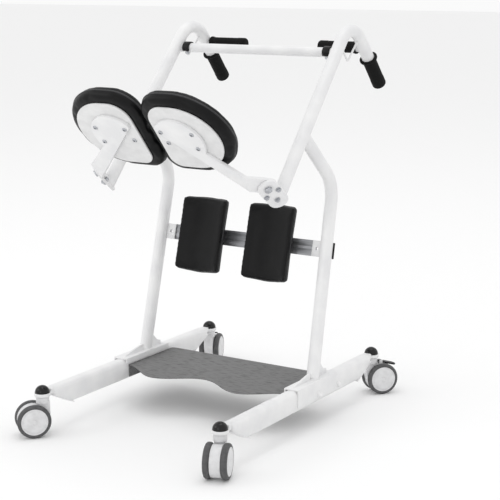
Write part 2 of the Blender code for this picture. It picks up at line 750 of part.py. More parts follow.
def grip(radius, length, thickness, flange, matrix, sides=20):
    """A sleeve with a closed end and a flange; local Z runs out to its closed end."""
    outer = radius + GAP + thickness
    inner = radius + GAP
    profile = [(0.0, length + 0.005), (outer - 0.004, length + 0.005), (outer, length + 0.001),
               (outer, 0.012), (outer + flange, 0.008), (outer + flange, 0.0), (inner, 0.0),
               (inner, length), (0.0, length)]
    return as_mesh(turned(profile, matrix, sides))


def end_grip():
    tip = arm_path[-1]
    ahead = (arm_path[-1] - arm_path[-2]).normalized()
    place = frame_from(tip - ahead * (GRIP_LENGTH - GAP), (1, 0, 0), ahead)
    return grip(TUBE_RADIUS, GRIP_LENGTH, GRIP_THICKNESS, GRIP_FLANGE, place)


def stub_grip():
    place = stub_place() @ Matrix.Translation((0, 0, stub_length - STUB_GRIP_LENGTH + GAP))
    return grip(STUB_RADIUS, STUB_GRIP_LENGTH, STUB_GRIP_THICKNESS, 0.002, place, 18)


def tube_hole(start, end):
    """The room a frame tube takes, with its gap."""
    place, length = between(start, end)
    return cylinder(TUBE_RADIUS + GAP, 0.0, length, place, 32)


def sling_hook():
    """A rod bent to a V between the arm and the handle, open above for a strap's loop."""
    near = along(arm_foot, ARM_ANGLE, HOOK_ALONG_ARM)
    far = along(arm_peak, -HANDLE_ANGLE, HOOK_ALONG_HANDLE)
    path = round_corners([frame_point(*near), frame_point(HOOK_Y, HOOK_HEIGHT), frame_point(*far)],
                         HOOK_BEND, 4)
    body = rod(path, HOOK_RADIUS, 10)
    cut(body, rod(arm_path, TUBE_RADIUS + GAP, 32))
    return body


def saddle():
    """A channel over the leg with the two gussets that brace the upright's foot."""
    half = LEG_WIDTH / 2 + GAP
    top = LEG_TOP + GAP
    outer = half + SADDLE_WALL
    outline = [(outer, SADDLE_TOP), (-outer, SADDLE_TOP), (-outer, LEG_TOP - SADDLE_LIP),
               (-half, LEG_TOP - SADDLE_LIP), (-half, top), (half, top),
               (half, LEG_TOP - SADDLE_SKIRT), (outer, LEG_TOP - SADDLE_SKIRT)]
    middle = (SADDLE_FRONT + SADDLE_REAR) / 2
    lie = frame_from((HALF_TRACK, middle, 0), (1, 0, 0), (0, -1, 0))
    body = slab(outline, SADDLE_REAR - SADDLE_FRONT, lie)
    foot_x = upright_path[0].x
    root = SADDLE_TOP - 0.002
    stand = frame_from((foot_x, 0, 0), (0, 1, 0), (1, 0, 0))
    front = [(UPRIGHT_FOOT_Y, root), (UPRIGHT_FOOT_Y, SADDLE_TOP + 0.020), (0.030, SADDLE_TOP + 0.018),
             (-0.008, SADDLE_TOP + 0.010), (-0.040, SADDLE_TOP + 0.004), (-0.044, root)]
    rear = [(UPRIGHT_FOOT_Y, root), (0.145, root), (0.143, SADDLE_TOP + 0.012),
            (0.124, SADDLE_TOP + 0.018), (0.108, SADDLE_TOP + 0.036), (UPRIGHT_FOOT_Y, SADDLE_TOP + 0.040)]
    join(body, slab(front, GUSSET_THICKNESS, stand), slab(rear, GUSSET_THICKNESS, stand))
    foot = upright_path[0]
    down = (upright_path[0] - upright_path[1]).normalized()
    hole = as_mesh(tube_hole(foot + down * 0.01, upright_path[1]))
    cut(hole, level_foot([foot - Vector((0, 0, GAP))], TUBE_RADIUS, 0.05))
    cut(body, as_mesh(hole))
    return body


right_arm = finish(arm(), "right_arm", WHITE_PAINT)
mirrored(right_arm, "left_arm", WHITE_PAINT)
for build, name, material in (
    (upright, "upright", WHITE_PAINT),
    (saddle, "saddle", WHITE_PAINT),
    (hinge_plate, "hinge_plate", WHITE_PAINT),
    (pivot_bolt, "pivot_bolt", BARE_STEEL),
    (end_grip, "handle_grip", BLACK_FOAM),
    (stub_grip, "inner_grip", BLACK_FOAM),
    (sling_hook, "sling_hook", WHITE_PAINT),
):
    piece = finish(build(), "right_" + name, material)
    mirrored(piece, "left_" + name, material)


# ---- crossbar -----------------------------------------------------------------
bar_y, bar_z = crossbar_place
bar_end = frame_point(bar_y, bar_z).x
crossbar = tube([(-bar_end, bar_y, bar_z), (bar_end, bar_y, bar_z)], CROSSBAR_RADIUS, TUBE_WALL, 16)
for sign in (1, -1):
    flip = Vector((sign, 1, 1))
    cut(crossbar, tube_hole(arm_path[0] * flip, arm_path[1] * flip))
finish(crossbar, "crossbar", WHITE_PAINT)

clip_far = bar_end - TUBE_RADIUS - 0.006
ring = tube([(clip_far - CLIP_LENGTH, bar_y, bar_z), (clip_far, bar_y, bar_z)],
            CROSSBAR_RADIUS + GAP + CLIP_THICKNESS, CLIP_THICKNESS, 16)
finish(ring, "right_crossbar_clip", BLACK_PLASTIC)
mirrored(ring, "left_crossbar_clip", BLACK_PLASTIC)


# ---- footplate ----------------------------------------------------------------
def front_edge(x, half):
    """The footplate's front edge: two lobes with a notch between them."""
    lobe = 0.52 * half
    if abs(x) < lobe:
        share = (1 - math.cos(math.pi * abs(x) / lobe)) / 2
        return PLATE_NOTCH + (PLATE_FRONT - PLATE_NOTCH) * share
    share = (1 - math.cos(math.pi * (abs(x) - lobe) / (half - lobe))) / 2
    return PLATE_FRONT + (PLATE_FLANGE_FRONT + 0.012 - PLATE_FRONT) * share


plate_top = LEG_TOP - PLATE_DROP
plate_half = HALF_TRACK - LEG_WIDTH / 2 - GAP
rim = [(plate_half * i / 14, front_edge(plate_half * i / 14, plate_half)) for i in range(-14, 15)]
rim += arc((plate_half - 0.012, PLATE_REAR - 0.012), 0.012, 0, 90, 3)
rim += arc((0.012 - plate_half, PLATE_REAR - 0.012), 0.012, 90, 180, 3)
mid_height = plate_top - PLATE_THICKNESS / 2
footplate = slab(rim, PLATE_THICKNESS, Matrix.Translation((0, 0, mid_height)))
for sign in (-1, 1):
    near, far = sorted((sign * plate_half, sign * (plate_half - PLATE_THICKNESS)))
    flange = box((near, PLATE_FLANGE_FRONT + 0.013, plate_top - PLATE_FLANGE),
                 (far, PLATE_REAR - 0.013, mid_height))
    join(footplate, flange)
finish(footplate, "footplate", GREY_PLATE)


# ---- knee support -------------------------------------------------------------
knee_tilt = math.radians(KNEE_TILT)
knee_up = Vector((0, math.sin(knee_tilt), math.cos(knee_tilt)))
knee_axis = upright_foot[0] + (KNEE_HEIGHT - upright_foot[1]) * math.tan(math.radians(UPRIGHT_ANGLE))
knee_frame = frame_from((0, knee_axis + KNEE_BAR_SETBACK, KNEE_HEIGHT), (1, 0, 0), knee_up)
half_bar = KNEE_BAR_THICKNESS / 2
knee_bar_end = frame_point(knee_axis, KNEE_HEIGHT).x - KNEE_BAR_SHORT
knee_bar = box((-knee_bar_end, -half_bar, -KNEE_BAR_HEIGHT / 2),
               (knee_bar_end, half_bar, KNEE_BAR_HEIGHT / 2), knee_frame)
for sign in (-1, 1):
    hole = knee_frame @ frame_from((sign * (knee_bar_end - KNEE_HOLE_INSET), 0, 0), (1, 0, 0), (0, 1, 0))
    cut(knee_bar, cylinder(KNEE_HOLE_RADIUS, -0.02, 0.02, hole, 12))
finish(knee_bar, "knee_bar", BARE_STEEL)


def knee_tab():
    """The tab welded to the upright, on the front of the knee bar's end."""
    front = -half_bar - GAP
    outside = frame_point(knee_axis, KNEE_HEIGHT).x
    body = box((knee_bar_end - KNEE_TAB_LAP, front - KNEE_TAB_THICKNESS, -KNEE_BAR_HEIGHT / 2),
               (outside, front, KNEE_BAR_HEIGHT / 2), knee_frame)
    cut(body, tube_hole(upright_path[0], upright_path[1]))
    hole = knee_frame @ frame_from((knee_bar_end - KNEE_HOLE_INSET, 0, 0), (1, 0, 0), (0, 1, 0))
    cut(body, cylinder(KNEE_HOLE_RADIUS, -0.02, 0.02, hole, 12))
    return body


def curved_slab(inner, outer, half_width, height, place, rounding=0.0):
    """A slab curved about its long axis, hollow towards -Y, middle of the pad's hollow at y = 0."""
    centre = (0, -KNEE_PAD_RADIUS)
    near = math.degrees(math.asin(half_width / inner))
    far = math.degrees(math.asin(half_width / outer))
    outline = arc(centre, outer, 90 - far, 90 + far, 8)
    outline += arc(centre, inner, 90 + near, 90 - near, 8)
    return slab(outline, height, place, rounding)


pad_outer = KNEE_PAD_RADIUS + KNEE_PAD_THICKNESS
pad_depth = -(half_bar + 2 * GAP + KNEE_STANDOFF + KNEE_PLATE_THICKNESS + KNEE_PAD_THICKNESS)
pad_frame = knee_frame @ Matrix.Translation((KNEE_PAD_X, pad_depth, 0))


def knee_pad():
    return curved_slab(KNEE_PAD_RADIUS, pad_outer, KNEE_PAD_WIDTH / 2, KNEE_PAD_HEIGHT, pad_frame, 0.006)


def knee_pad_shell():
    """The pad's curved back plate and the boss that stands it off the knee bar."""
    inner = pad_outer + GAP
    outer = inner + KNEE_PLATE_THICKNESS
    body = curved_slab(inner, outer, KNEE_PAD_WIDTH * 0.42, KNEE_PAD_HEIGHT * 0.84, pad_frame)
    start = KNEE_PAD_THICKNESS + GAP + 0.001
    end = start + KNEE_PLATE_THICKNESS + KNEE_STANDOFF - 0.001
    join(body, box((-0.025, start, -0.020), (0.025, end, 0.020), pad_frame))
    return body


for build, name, material in (
    (knee_tab, "knee_tab", WHITE_PAINT),
    (knee_pad, "knee_pad", BLACK_VINYL),
    (knee_pad_shell, "knee_pad_shell", BLACK_PLASTIC),
):
    piece = finish(build(), "right_" + name, material)
    mirrored(piece, "left_" + name, material)


# ---- seat halves --------------------------------------------------------------
def cushion():
    return slab(half_seat(0.0), CUSHION_THICKNESS, seat_level(-CUSHION_THICKNESS / 2), CUSHION_EDGE)


def seat_board():
    return slab(half_seat(BOARD_INSET), BOARD_THICKNESS, seat_level(BOARD_THICKNESS / 2 + GAP))


pivots = {}
for sign, side in ((1, "right"), (-1, "left")):
    spot = pivot_point * Vector((sign, 1, 1))
    axis = hinge_axis * Vector((sign, 1, 1))
    pivots[side] = empty(side + "_seat_pivot", frame_from(spot, (0, 0, 1), axis))
for build, name, material in (
    (cushion, "seat_cushion", BLACK_VINYL),
    (seat_board, "seat_board", WHITE_PLASTIC),
    (seat_arm, "seat_arm", WHITE_PAINT),
):
    piece = finish(build(), "right_" + name, material)
    copy = mirrored(piece, "left_" + name, material)
    parent(piece, pivots["right"])
    parent(copy, pivots["left"])
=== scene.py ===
import json
import math

import bpy
from mathutils import Matrix, Vector


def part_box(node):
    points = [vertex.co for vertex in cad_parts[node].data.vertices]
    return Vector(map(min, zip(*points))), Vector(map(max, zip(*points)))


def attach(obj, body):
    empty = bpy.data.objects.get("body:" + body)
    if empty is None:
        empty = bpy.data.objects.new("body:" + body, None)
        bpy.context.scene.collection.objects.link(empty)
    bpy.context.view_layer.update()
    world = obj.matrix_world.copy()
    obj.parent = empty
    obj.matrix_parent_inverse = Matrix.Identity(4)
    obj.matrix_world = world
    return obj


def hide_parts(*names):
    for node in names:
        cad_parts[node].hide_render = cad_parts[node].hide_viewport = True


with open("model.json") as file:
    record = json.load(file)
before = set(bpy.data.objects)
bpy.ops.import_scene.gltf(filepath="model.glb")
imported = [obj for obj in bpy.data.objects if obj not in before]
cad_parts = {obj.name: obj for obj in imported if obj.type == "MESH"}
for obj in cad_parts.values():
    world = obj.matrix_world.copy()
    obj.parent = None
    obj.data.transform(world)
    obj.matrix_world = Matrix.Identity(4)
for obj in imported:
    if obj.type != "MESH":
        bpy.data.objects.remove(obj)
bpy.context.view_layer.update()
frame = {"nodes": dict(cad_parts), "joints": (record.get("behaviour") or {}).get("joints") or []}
joints = {joint["name"]: joint for joint in frame["joints"]}
corners = ("front_left", "front_right", "rear_left", "rear_right")


# helpers: selecting, drawing with edit-mode operators, placing

def onlyThis(piece):
    if bpy.context.mode != "OBJECT":
        bpy.ops.object.mode_set(mode="OBJECT")
    bpy.ops.object.select_all(action="DESELECT")
    if piece:
        piece.select_set(True)
        bpy.context.view_layer.objects.active = piece


def leaveEdit(merge=0.00001):
    bpy.ops.mesh.select_all(action="SELECT")
    bpy.ops.mesh.remove_doubles(threshold=merge)
    bpy.ops.mesh.normals_make_consistent(inside=False)
    bpy.ops.object.mode_set(mode="OBJECT")


def put(piece, place):
    onlyThis(piece)
    piece.matrix_world = place
    bpy.ops.object.transform_apply(location=True, rotation=True, scale=True)
    return piece


def applyModifier(piece, modifier):
    onlyThis(piece)
    bpy.ops.object.modifier_apply(modifier=modifier.name)


def softenEdges(piece, width, segments=2, limit=32, smooth=38):
    if width:
        rounding = piece.modifiers.new("edges", "BEVEL")
        rounding.width = width
        rounding.segments = segments
        rounding.limit_method = "ANGLE"
        rounding.angle_limit = math.radians(limit)
        rounding.miter_outer = "MITER_ARC"
        applyModifier(piece, rounding)
    onlyThis(piece)
    bpy.ops.object.shade_smooth_by_angle(angle=math.radians(smooth))
    return piece


def drawLine(points):
    # one vertex, drawn out point by point; stays in edit mode
    onlyThis(None)
    bpy.ops.mesh.primitive_plane_add(size=0.01)
    piece = bpy.context.object
    bpy.ops.object.mode_set(mode="EDIT")
    bpy.ops.mesh.select_all(action="SELECT")
    bpy.ops.mesh.merge(type="CENTER")
    here = Vector(points[0])
    bpy.ops.transform.translate(value=here)
    for point in points[1:]:
        step = Vector(point) - here
        bpy.ops.mesh.extrude_region_move(TRANSFORM_OT_translate={"value": step})
        here = Vector(point)
    return piece


def lathe(profile, place=Matrix(), steps=48):
    piece = drawLine([(radius, 0, height) for radius, height in profile])
    bpy.ops.mesh.select_all(action="SELECT")
    bpy.ops.mesh.spin(steps=steps, angle=2 * math.pi, center=(0, 0, 0), axis=(0, 0, 1))
    leaveEdit()
    return put(piece, place)


def plate(outline, thickness, place=Matrix()):
    # outline in XY, thickness from local z 0 upwards
    piece = drawLine([(x, y, 0) for x, y in outline])
    bpy.ops.mesh.select_all(action="SELECT")
    bpy.ops.mesh.edge_face_add()
    bpy.ops.mesh.extrude_region_move(TRANSFORM_OT_translate={"value": (0, 0, thickness)})
    leaveEdit()
    return put(piece, place)


def block(low, high, place=Matrix(), width=0.0, segments=2):
    low, high = Vector(low), Vector(high)
    onlyThis(None)
    bpy.ops.mesh.primitive_cube_add(size=1.0, location=(low + high) / 2, scale=high - low)
    piece = bpy.context.object
    bpy.ops.object.transform_apply(location=True, rotation=True, scale=True)
    if width:
        bpy.ops.object.mode_set(mode="EDIT")
        bpy.ops.mesh.select_all(action="SELECT")
        bpy.ops.mesh.bevel(offset=width, segments=segments, affect="EDGES")
        leaveEdit()
    return put(piece, place)


def runTube(path, radius, bend=0.05, around=40, steps=14):
    # a ring pushed along the straights and spun round the corners
    points = [Vector(p) for p in path]
    heading = points[1] - points[0]
    onlyThis(None)
    bpy.ops.mesh.primitive_circle_add(vertices=around, radius=radius, location=points[0],
                                      rotation=heading.to_track_quat("Z", "Y").to_euler())
    piece = bpy.context.object
    bpy.ops.object.transform_apply(location=True, rotation=True, scale=True)
    bpy.ops.object.mode_set(mode="EDIT")
    bpy.ops.mesh.select_all(action="SELECT")
    here = points[0]
    for before, corner, after in zip(points, points[1:], points[2:]):
        back, ahead = (before - corner).normalized(), (after - corner).normalized()
        half = back.angle(ahead) / 2
        reach = bend / math.tan(half)
        centre = corner + (back + ahead).normalized() * (bend / math.sin(half))
        start, end = corner + back * reach, corner + ahead * reach
        bpy.ops.mesh.extrude_region_move(TRANSFORM_OT_translate={"value": start - here})
        turn, sweep = (start - centre).cross(end - centre), (start - centre).angle(end - centre)
        bpy.ops.mesh.spin(steps=steps, angle=-sweep, center=centre, axis=turn.normalized())
        here = end
    bpy.ops.mesh.extrude_region_move(TRANSFORM_OT_translate={"value": points[-1] - here})
    bpy.ops.mesh.select_all(action="SELECT")
    bpy.ops.mesh.fill_holes(sides=0)
    leaveEdit()
    return piece


def trim(piece, point, normal):
    # cuts off what lies beyond the point, on the normal's side
    onlyThis(piece)
    bpy.ops.object.mode_set(mode="EDIT")
    bpy.ops.mesh.select_all(action="SELECT")
    bpy.ops.mesh.bisect(plane_co=point, plane_no=normal, use_fill=True, clear_outer=True)
    leaveEdit()
    return piece


def fromCad(node, width=0.0006, segments=2):
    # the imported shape, cleaned into faces and given worked edges
    piece = bpy.data.objects.new(node + "Copy", frame["nodes"][node].data.copy())
    bpy.context.scene.collection.objects.link(piece)
    onlyThis(piece)
    bpy.ops.object.mode_set(mode="EDIT")
    bpy.ops.mesh.select_all(action="SELECT")
    bpy.ops.mesh.remove_doubles(threshold=0.00001)
    bpy.ops.mesh.dissolve_limited(angle_limit=math.radians(1.5))
    bpy.ops.mesh.normals_make_consistent(inside=False)
    bpy.ops.object.mode_set(mode="OBJECT")
    piece.data.materials.clear()
    return softenEdges(piece, width, segments)


def joined(*pieces):
    onlyThis(pieces[0])
    for piece in pieces[1:]:
        piece.select_set(True)
    bpy.ops.object.join()
    return pieces[0]


def copied(piece):
    copy = bpy.data.objects.new(piece.name + "Copy", piece.data.copy())
    bpy.context.scene.collection.objects.link(copy)
    return copy


def mirrored(piece):
    copy = copied(piece)
    put(copy, Matrix.Diagonal((-1, 1, 1, 1)))
    bpy.ops.object.mode_set(mode="EDIT")
    bpy.ops.mesh.select_all(action="SELECT")
    bpy.ops.mesh.normals_make_consistent(inside=False)
    bpy.ops.object.mode_set(mode="OBJECT")
    return copy


def dress(piece, name, body, material, slot, *nodes):
    piece.name = name
    piece.data.name = name
    piece.data.materials.clear()
    piece.data.materials.append(material)
    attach(piece, body)
    if nodes:
        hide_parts(*nodes)
    return piece


def dressBoth(piece, label, body, material, slot, node=None):
    # the right-hand piece and its left-hand twin; {side} in body and node is filled in
    pair = {"left": mirrored(piece), "right": piece}
    for side, one in pair.items():
        nodes = [node.format(side=side)] if node else []
        dress(one, side + label, body.format(side=side), material, slot, *nodes)
    return pair


def facing(origin, zAxis, xAxis=(1, 0, 0)):
    # a placement whose Z is zAxis and whose X is near xAxis
    z = Vector(zAxis).normalized()
    y = z.cross(Vector(xAxis)).normalized()
    turn = Matrix((y.cross(z), y, z)).transposed().to_4x4()
    return Matrix.Translation(origin) @ turn


def arc(centre, radius, start, end, steps):
    swept = [math.radians(start + (end - start) * i / steps) for i in range(steps + 1)]
    return [(centre[0] + radius * math.cos(a), centre[1] + radius * math.sin(a)) for a in swept]


# materials

def hexColour(code):
    parts = [int(code[i:i + 2], 16) / 255 for i in (0, 2, 4)]
    linear = [c / 12.92 if c < 0.04045 else ((c + 0.055) / 1.055) ** 2.4 for c in parts]
    return (*linear, 1.0)


def addNode(tree, kind, settings=None, links=None):
    node = tree.nodes.new(kind)
    for key, value in (settings or {}).items():
        if isinstance(key, str) and hasattr(node, key):
            setattr(node, key, value)
        else:
            node.inputs[key].default_value = value
    for key, (source, output) in (links or {}).items():
        tree.links.new(source.outputs[output], node.inputs[key])
    return node


def makeMaterial(name, spec):
    material = bpy.data.materials.new(name)
    material.use_nodes = True
    tree = material.node_tree
    shader = tree.nodes["Principled BSDF"]
    for key, value in spec.get("shader", {}).items():
        shader.inputs[key].default_value = value
    place = addNode(tree, "ShaderNodeTexCoord")
    pattern = (place, "Object")
    if "stretch" in spec:  # pattern cells in mm along x, y and z
        scale = [1000 / mm for mm in spec["stretch"]]
        mapping = addNode(tree, "ShaderNodeMapping", {"Scale": scale}, {"Vector": pattern})
        pattern = (mapping, "Vector")
        cell = 1.0
    else:
        cell = 1000 / spec["patchMm"]
    patches = addNode(tree, "ShaderNodeTexNoise", {"Scale": cell, "Detail": 4.0}, {"Vector": pattern})
    low, high = spec.get("contrast", (0.35, 0.65))
    share = addNode(tree, "ShaderNodeMapRange", {"From Min": low, "From Max": high},
                    {"Value": (patches, "Fac")})
    tint = addNode(tree, "ShaderNodeMix", {"data_type": "RGBA", 6: hexColour(spec["colours"][0]),
                                           7: hexColour(spec["colours"][1])}, {0: (share, "Result")})
    tree.links.new(tint.outputs[2], shader.inputs["Base Color"])
    smooth, rough = spec["roughness"]
    polish = addNode(tree, "ShaderNodeMapRange", {"To Min": smooth, "To Max": rough},
                     {"Value": (patches, "Fac")})
    tree.links.new(polish.outputs["Result"], shader.inputs["Roughness"])
    grainScale = 1000 / spec["grainMm"]
    if spec.get("grain") == "cells":
        grain = addNode(tree, "ShaderNodeTexVoronoi", {"feature": "SMOOTH_F1", "Scale": grainScale,
                                                       "Randomness": 0.9}, {"Vector": (place, "Object")})
        height = (grain, "Distance")
    elif spec.get("grain") == "brushed":
        grain = addNode(tree, "ShaderNodeTexNoise", {"Scale": 1.0, "Detail": 3.0}, {"Vector": pattern})
        height = (grain, "Fac")
    else:
        grain = addNode(tree, "ShaderNodeTexNoise", {"Scale": grainScale, "Detail": 3.0},
                        {"Vector": (place, "Object")})
        height = (grain, "Fac")
    bump = addNode(tree, "ShaderNodeBump", {"Strength": spec["bump"], "Distance": spec["depthMm"] / 1000},
                   {"Height": height})
    tree.links.new(bump.outputs["Normal"], shader.inputs["Normal"])
    return material


# polyester powder coat, sprayed dry and baked on steel: satin white with faint orange peel
whitePowderCoat = makeMaterial("whitePowderCoat", {
    "colours": ("e9e9e9", "e1e1e2"), "patchMm": 60, "roughness": (0.30, 0.42),
    "grainMm": 3.5, "bump": 0.12, "depthMm": 0.25, "shader": {"IOR": 1.5}})
# epoxy coat with grit rolled in: matt mid grey, darker dashes where it is thicker
greyGripCoat = makeMaterial("greyGripCoat", {
    "colours": ("747474", "565656"), "stretch": (34, 5, 5), "contrast": (0.52, 0.66),
    "roughness": (0.62, 0.82), "grainMm": 2.2, "bump": 0.35, "depthMm": 0.5, "shader": {"IOR": 1.5}})
# closed-cell NBR foam sleeve: dull black, finely pored
blackFoam = makeMaterial("blackFoamRubber", {
    "colours": ("0a0a0a", "131313"), "patchMm": 5, "roughness": (0.62, 0.8),
    "grainMm": 1.6, "bump": 0.5, "depthMm": 0.5, "shader": {"IOR": 1.52, "Specular IOR Level": 0.14}})
# PVC-coated cloth, embossed with a leather grain: black with a soft sheen on the folds
blackVinyl = makeMaterial("blackVinyl", {
    "colours": ("070708", "0d0d0e"), "patchMm": 40, "roughness": (0.34, 0.46), "grain": "cells",
    "grainMm": 2.6, "bump": 0.25, "depthMm": 0.3, "shader": {"IOR": 1.53, "Specular IOR Level": 0.17}})
# welting of the same vinyl rolled over a cord: a little smoother and shinier; its mid grey colour is a
# painted highlight along the cord
vinylPiping = makeMaterial("vinylPiping", {
    "colours": ("2c2c2d", "38383a"), "patchMm": 25, "roughness": (0.30, 0.44),
    "grainMm": 2.0, "bump": 0.2, "depthMm": 0.2, "shader": {"IOR": 1.53, "Specular IOR Level": 0.3}})
# injection-moulded ABS, high gloss: deep black with sharp reflections
glossBlackPlastic = makeMaterial("glossBlackAbs", {
    "colours": ("060607", "0a0a0b"), "patchMm": 30, "roughness": (0.08, 0.14),
    "grainMm": 6, "bump": 0.03, "depthMm": 0.2, "shader": {"IOR": 1.53, "Specular IOR Level": 0.35}})
# injection-moulded nylon with a spark-eroded texture: satin black
satinBlackPlastic = makeMaterial("satinBlackNylon", {
    "colours": ("0e0e0f", "171718"), "patchMm": 25, "roughness": (0.34, 0.5),
    "grainMm": 1.5, "bump": 0.2, "depthMm": 0.2, "shader": {"IOR": 1.53, "Specular IOR Level": 0.2}})
# thermoplastic rubber tread moulded on its hub: dark grey, matt, slightly dusty
tyreRubber = makeMaterial("tyreRubber", {
    "colours": ("454546", "565657"), "patchMm": 14, "roughness": (0.5, 0.72),
    "grainMm": 1.8, "bump": 0.25, "depthMm": 0.3, "shader": {"IOR": 1.5}})
# injection-moulded polypropylene: pale grey, softly glossy, a little waxy
palePlastic = makeMaterial("palePolypropylene", {
    "colours": ("dededf", "d2d2d3"), "patchMm": 18, "roughness": (0.32, 0.46),
    "grainMm": 2.5, "bump": 0.1, "depthMm": 0.2, "shader": {"IOR": 1.49}})
# compression-moulded ABS sheet: off-white with a fine haircell texture
boardPlastic = makeMaterial("haircellAbsSheet", {
    "colours": ("e2e2e2", "d8d8d8"), "patchMm": 30, "roughness": (0.42, 0.56), "grain": "cells",
    "grainMm": 2.4, "bump": 0.15, "depthMm": 0.2, "shader": {"IOR": 1.53}})
# bright zinc plate on steel fasteners: pale metal, slightly uneven
zincSteel = makeMaterial("zincPlatedSteel", {
    "colours": ("c2c4c8", "acaeb2"), "patchMm": 4, "roughness": (0.24, 0.4),
    "grainMm": 2, "bump": 0.08, "depthMm": 0.1, "shader": {"Metallic": 1.0}})
# flat steel strip, ground lengthwise: grey metal drawn into fine streaks
strapSteel = makeMaterial("groundSteelStrip", {
    "colours": ("a4a5a8", "8e8f92"), "stretch": (70, 1.6, 1.6), "roughness": (0.36, 0.52),
    "grain": "brushed", "grainMm": 2, "bump": 0.15, "depthMm": 0.1, "shader": {"Metallic": 0.85}})
print("materials made")


# side frames: arm, handle and upright in round tube, all on one leaning plane

frameSpec = {
    "tubeRadius": 0.019,
    "halfTrack": (joints["front_right_swivel"]["pos_m"][0]),
    "lean": 0.0205,
    "armFoot": (-0.1163, 0.703),
    "peak": (0.3217, 1.192876),
    "handleEnd": (0.502615, 0.981799),
    "peakBend": 0.078,
    "uprightFoot": (0.066, 0.1416),
    "uprightKnee": (0.20327, 0.709),
    "uprightTop": (0.032337, 0.869241),
    "uprightBend": 0.100,
    "weldInset": 0.004,
}


def onFrame(y, z):
    return Vector((frameSpec["halfTrack"] - frameSpec["lean"] * z, y, z))


plateNormal = -Vector(joints["right_seat_swing"]["axis"])   # out of the hinge plate, away from the seat
seatPivot = Vector(joints["right_seat_swing"]["pos_m"])
plateFace = seatPivot + plateNormal * 0.0053                # inner face of the hinge plate
armFoot = onFrame(*frameSpec["armFoot"])
armPeak = onFrame(*frameSpec["peak"])
handleEnd = onFrame(*frameSpec["handleEnd"])
armHeading = (armPeak - armFoot).normalized()
armEnd = armFoot + armHeading * ((plateFace - armFoot).dot(plateNormal) / armHeading.dot(plateNormal))
handleHeading = (handleEnd - armPeak).normalized()

armTube = runTube([armEnd - armHeading * 0.03, armPeak, handleEnd], frameSpec["tubeRadius"],
                  frameSpec["peakBend"], 40, 18)
trim(armTube, plateFace + plateNormal * frameSpec["weldInset"], plateNormal)

stubSpec = {"along": 0.124, "radius": 0.014, "length": 0.150, "start": 0.008}
stubRoot = armPeak + handleHeading * (stubSpec["along"] * 1.0)
stubRoot = onFrame(stubRoot.y, stubRoot.z)
stubTube = runTube([stubRoot - Vector((stubSpec["start"], 0, 0)),
                    stubRoot - Vector((stubSpec["length"], 0, 0))],
                   stubSpec["radius"], 0.05, 32)


def weldBead(centre, normal, radius, thickness=0.0022, stretch=1.0, stretchAxis=(1, 0, 0)):
    # a rippled ring of weld where two tubes meet
    onlyThis(None)
    bpy.ops.mesh.primitive_torus_add(major_radius=radius, minor_radius=thickness,
                                     major_segments=56, minor_segments=8)
    piece = bpy.context.object
    count = 28
    for vertex in piece.data.vertices:
        turn = math.atan2(vertex.co.y, vertex.co.x)
        ripple = 1 + 0.10 * math.cos(count * turn)
        flat = Vector((math.cos(turn), math.sin(turn), 0)) * radius
        vertex.co = flat + (vertex.co - flat) * ripple
        vertex.co.x *= stretch
    put(piece, facing(centre, normal, stretchAxis))
    onlyThis(piece)
    bpy.ops.object.shade_smooth()
    return piece


stubWeld = weldBead(stubRoot - Vector((0.0175, 0, 0)), (1, 0, 0), stubSpec["radius"], 0.0025)
softenEdges(armTube, 0)
softenEdges(stubTube, 0)
armPiece = joined(armTube, stubTube, stubWeld)
dressBoth(armPiece, "Arm", "frame", whitePowderCoat, "white_powder_coat", "{side}_arm")

# trim strip on the outer rear of each upright, beside the knee bar
trimSpec = {"height": 0.513, "half": 0.0235, "thickness": 0.0048, "gap": 0.0001,
            "from": 22, "to": 68, "slope": 0.2492}
footY, footZ = frameSpec["uprightFoot"]
trimHigh, trimLow = (onFrame(footY + (z - footZ) * trimSpec["slope"], z)
                     for z in (trimSpec["height"] + trimSpec["half"], trimSpec["height"] - trimSpec["half"]))
trimInner = frameSpec["tubeRadius"] + trimSpec["gap"]
trimOuter = frameSpec["tubeRadius"] + trimSpec["thickness"]
trimOutline = (arc((0, 0), trimOuter, trimSpec["from"], trimSpec["to"], 12)
               + arc((0, 0), trimInner, trimSpec["to"], trimSpec["from"], 12))
trimPiece = plate(trimOutline, (trimHigh - trimLow).length, facing(trimLow, trimHigh - trimLow))
softenEdges(trimPiece, 0.0012, 3, 40)
dressBoth(trimPiece, "UprightTrim", "frame", satinBlackPlastic, "black_plastic")

uprightTube = runTube([onFrame(*frameSpec["uprightFoot"]), onFrame(*frameSpec["uprightKnee"]),
                       onFrame(*frameSpec["uprightTop"])], frameSpec["tubeRadius"],
                      frameSpec["uprightBend"], 40, 16)
softenEdges(uprightTube, 0)
trim(uprightTube, onFrame(*frameSpec["uprightFoot"]) - Vector((0, 0, -0.0006)), (0, 0, -1))
footWeld = weldBead(onFrame(frameSpec["uprightFoot"][0] + 0.0002, 0.1425), (0, 0, 1),
                    frameSpec["tubeRadius"] - 0.0004, 0.0024, 1.03, (0, 1, 0))
softenEdges(uprightTube, 0)
uprightPiece = joined(uprightTube, footWeld)
dressBoth(uprightPiece, "Upright", "frame", whitePowderCoat, "white_powder_coat", "{side}_upright")
print("side frames made")


# legs: rounded box tube, undercut at both ends, closed by sloping plates, with a caster socket

legSpec = {
    "width": 0.040, "height": 0.064, "top": 0.137, "corner": 0.012, "cornerSteps": 6,
    "halfLength": joints["rear_right_swivel"]["pos_m"][1] - 0.034,
    "lip": 0.021, "cutLength": 0.085,
    "socketRadius": 0.024, "socketBottom": 0.1185, "socketTop": 0.1285, "neckWidth": 0.026,
}


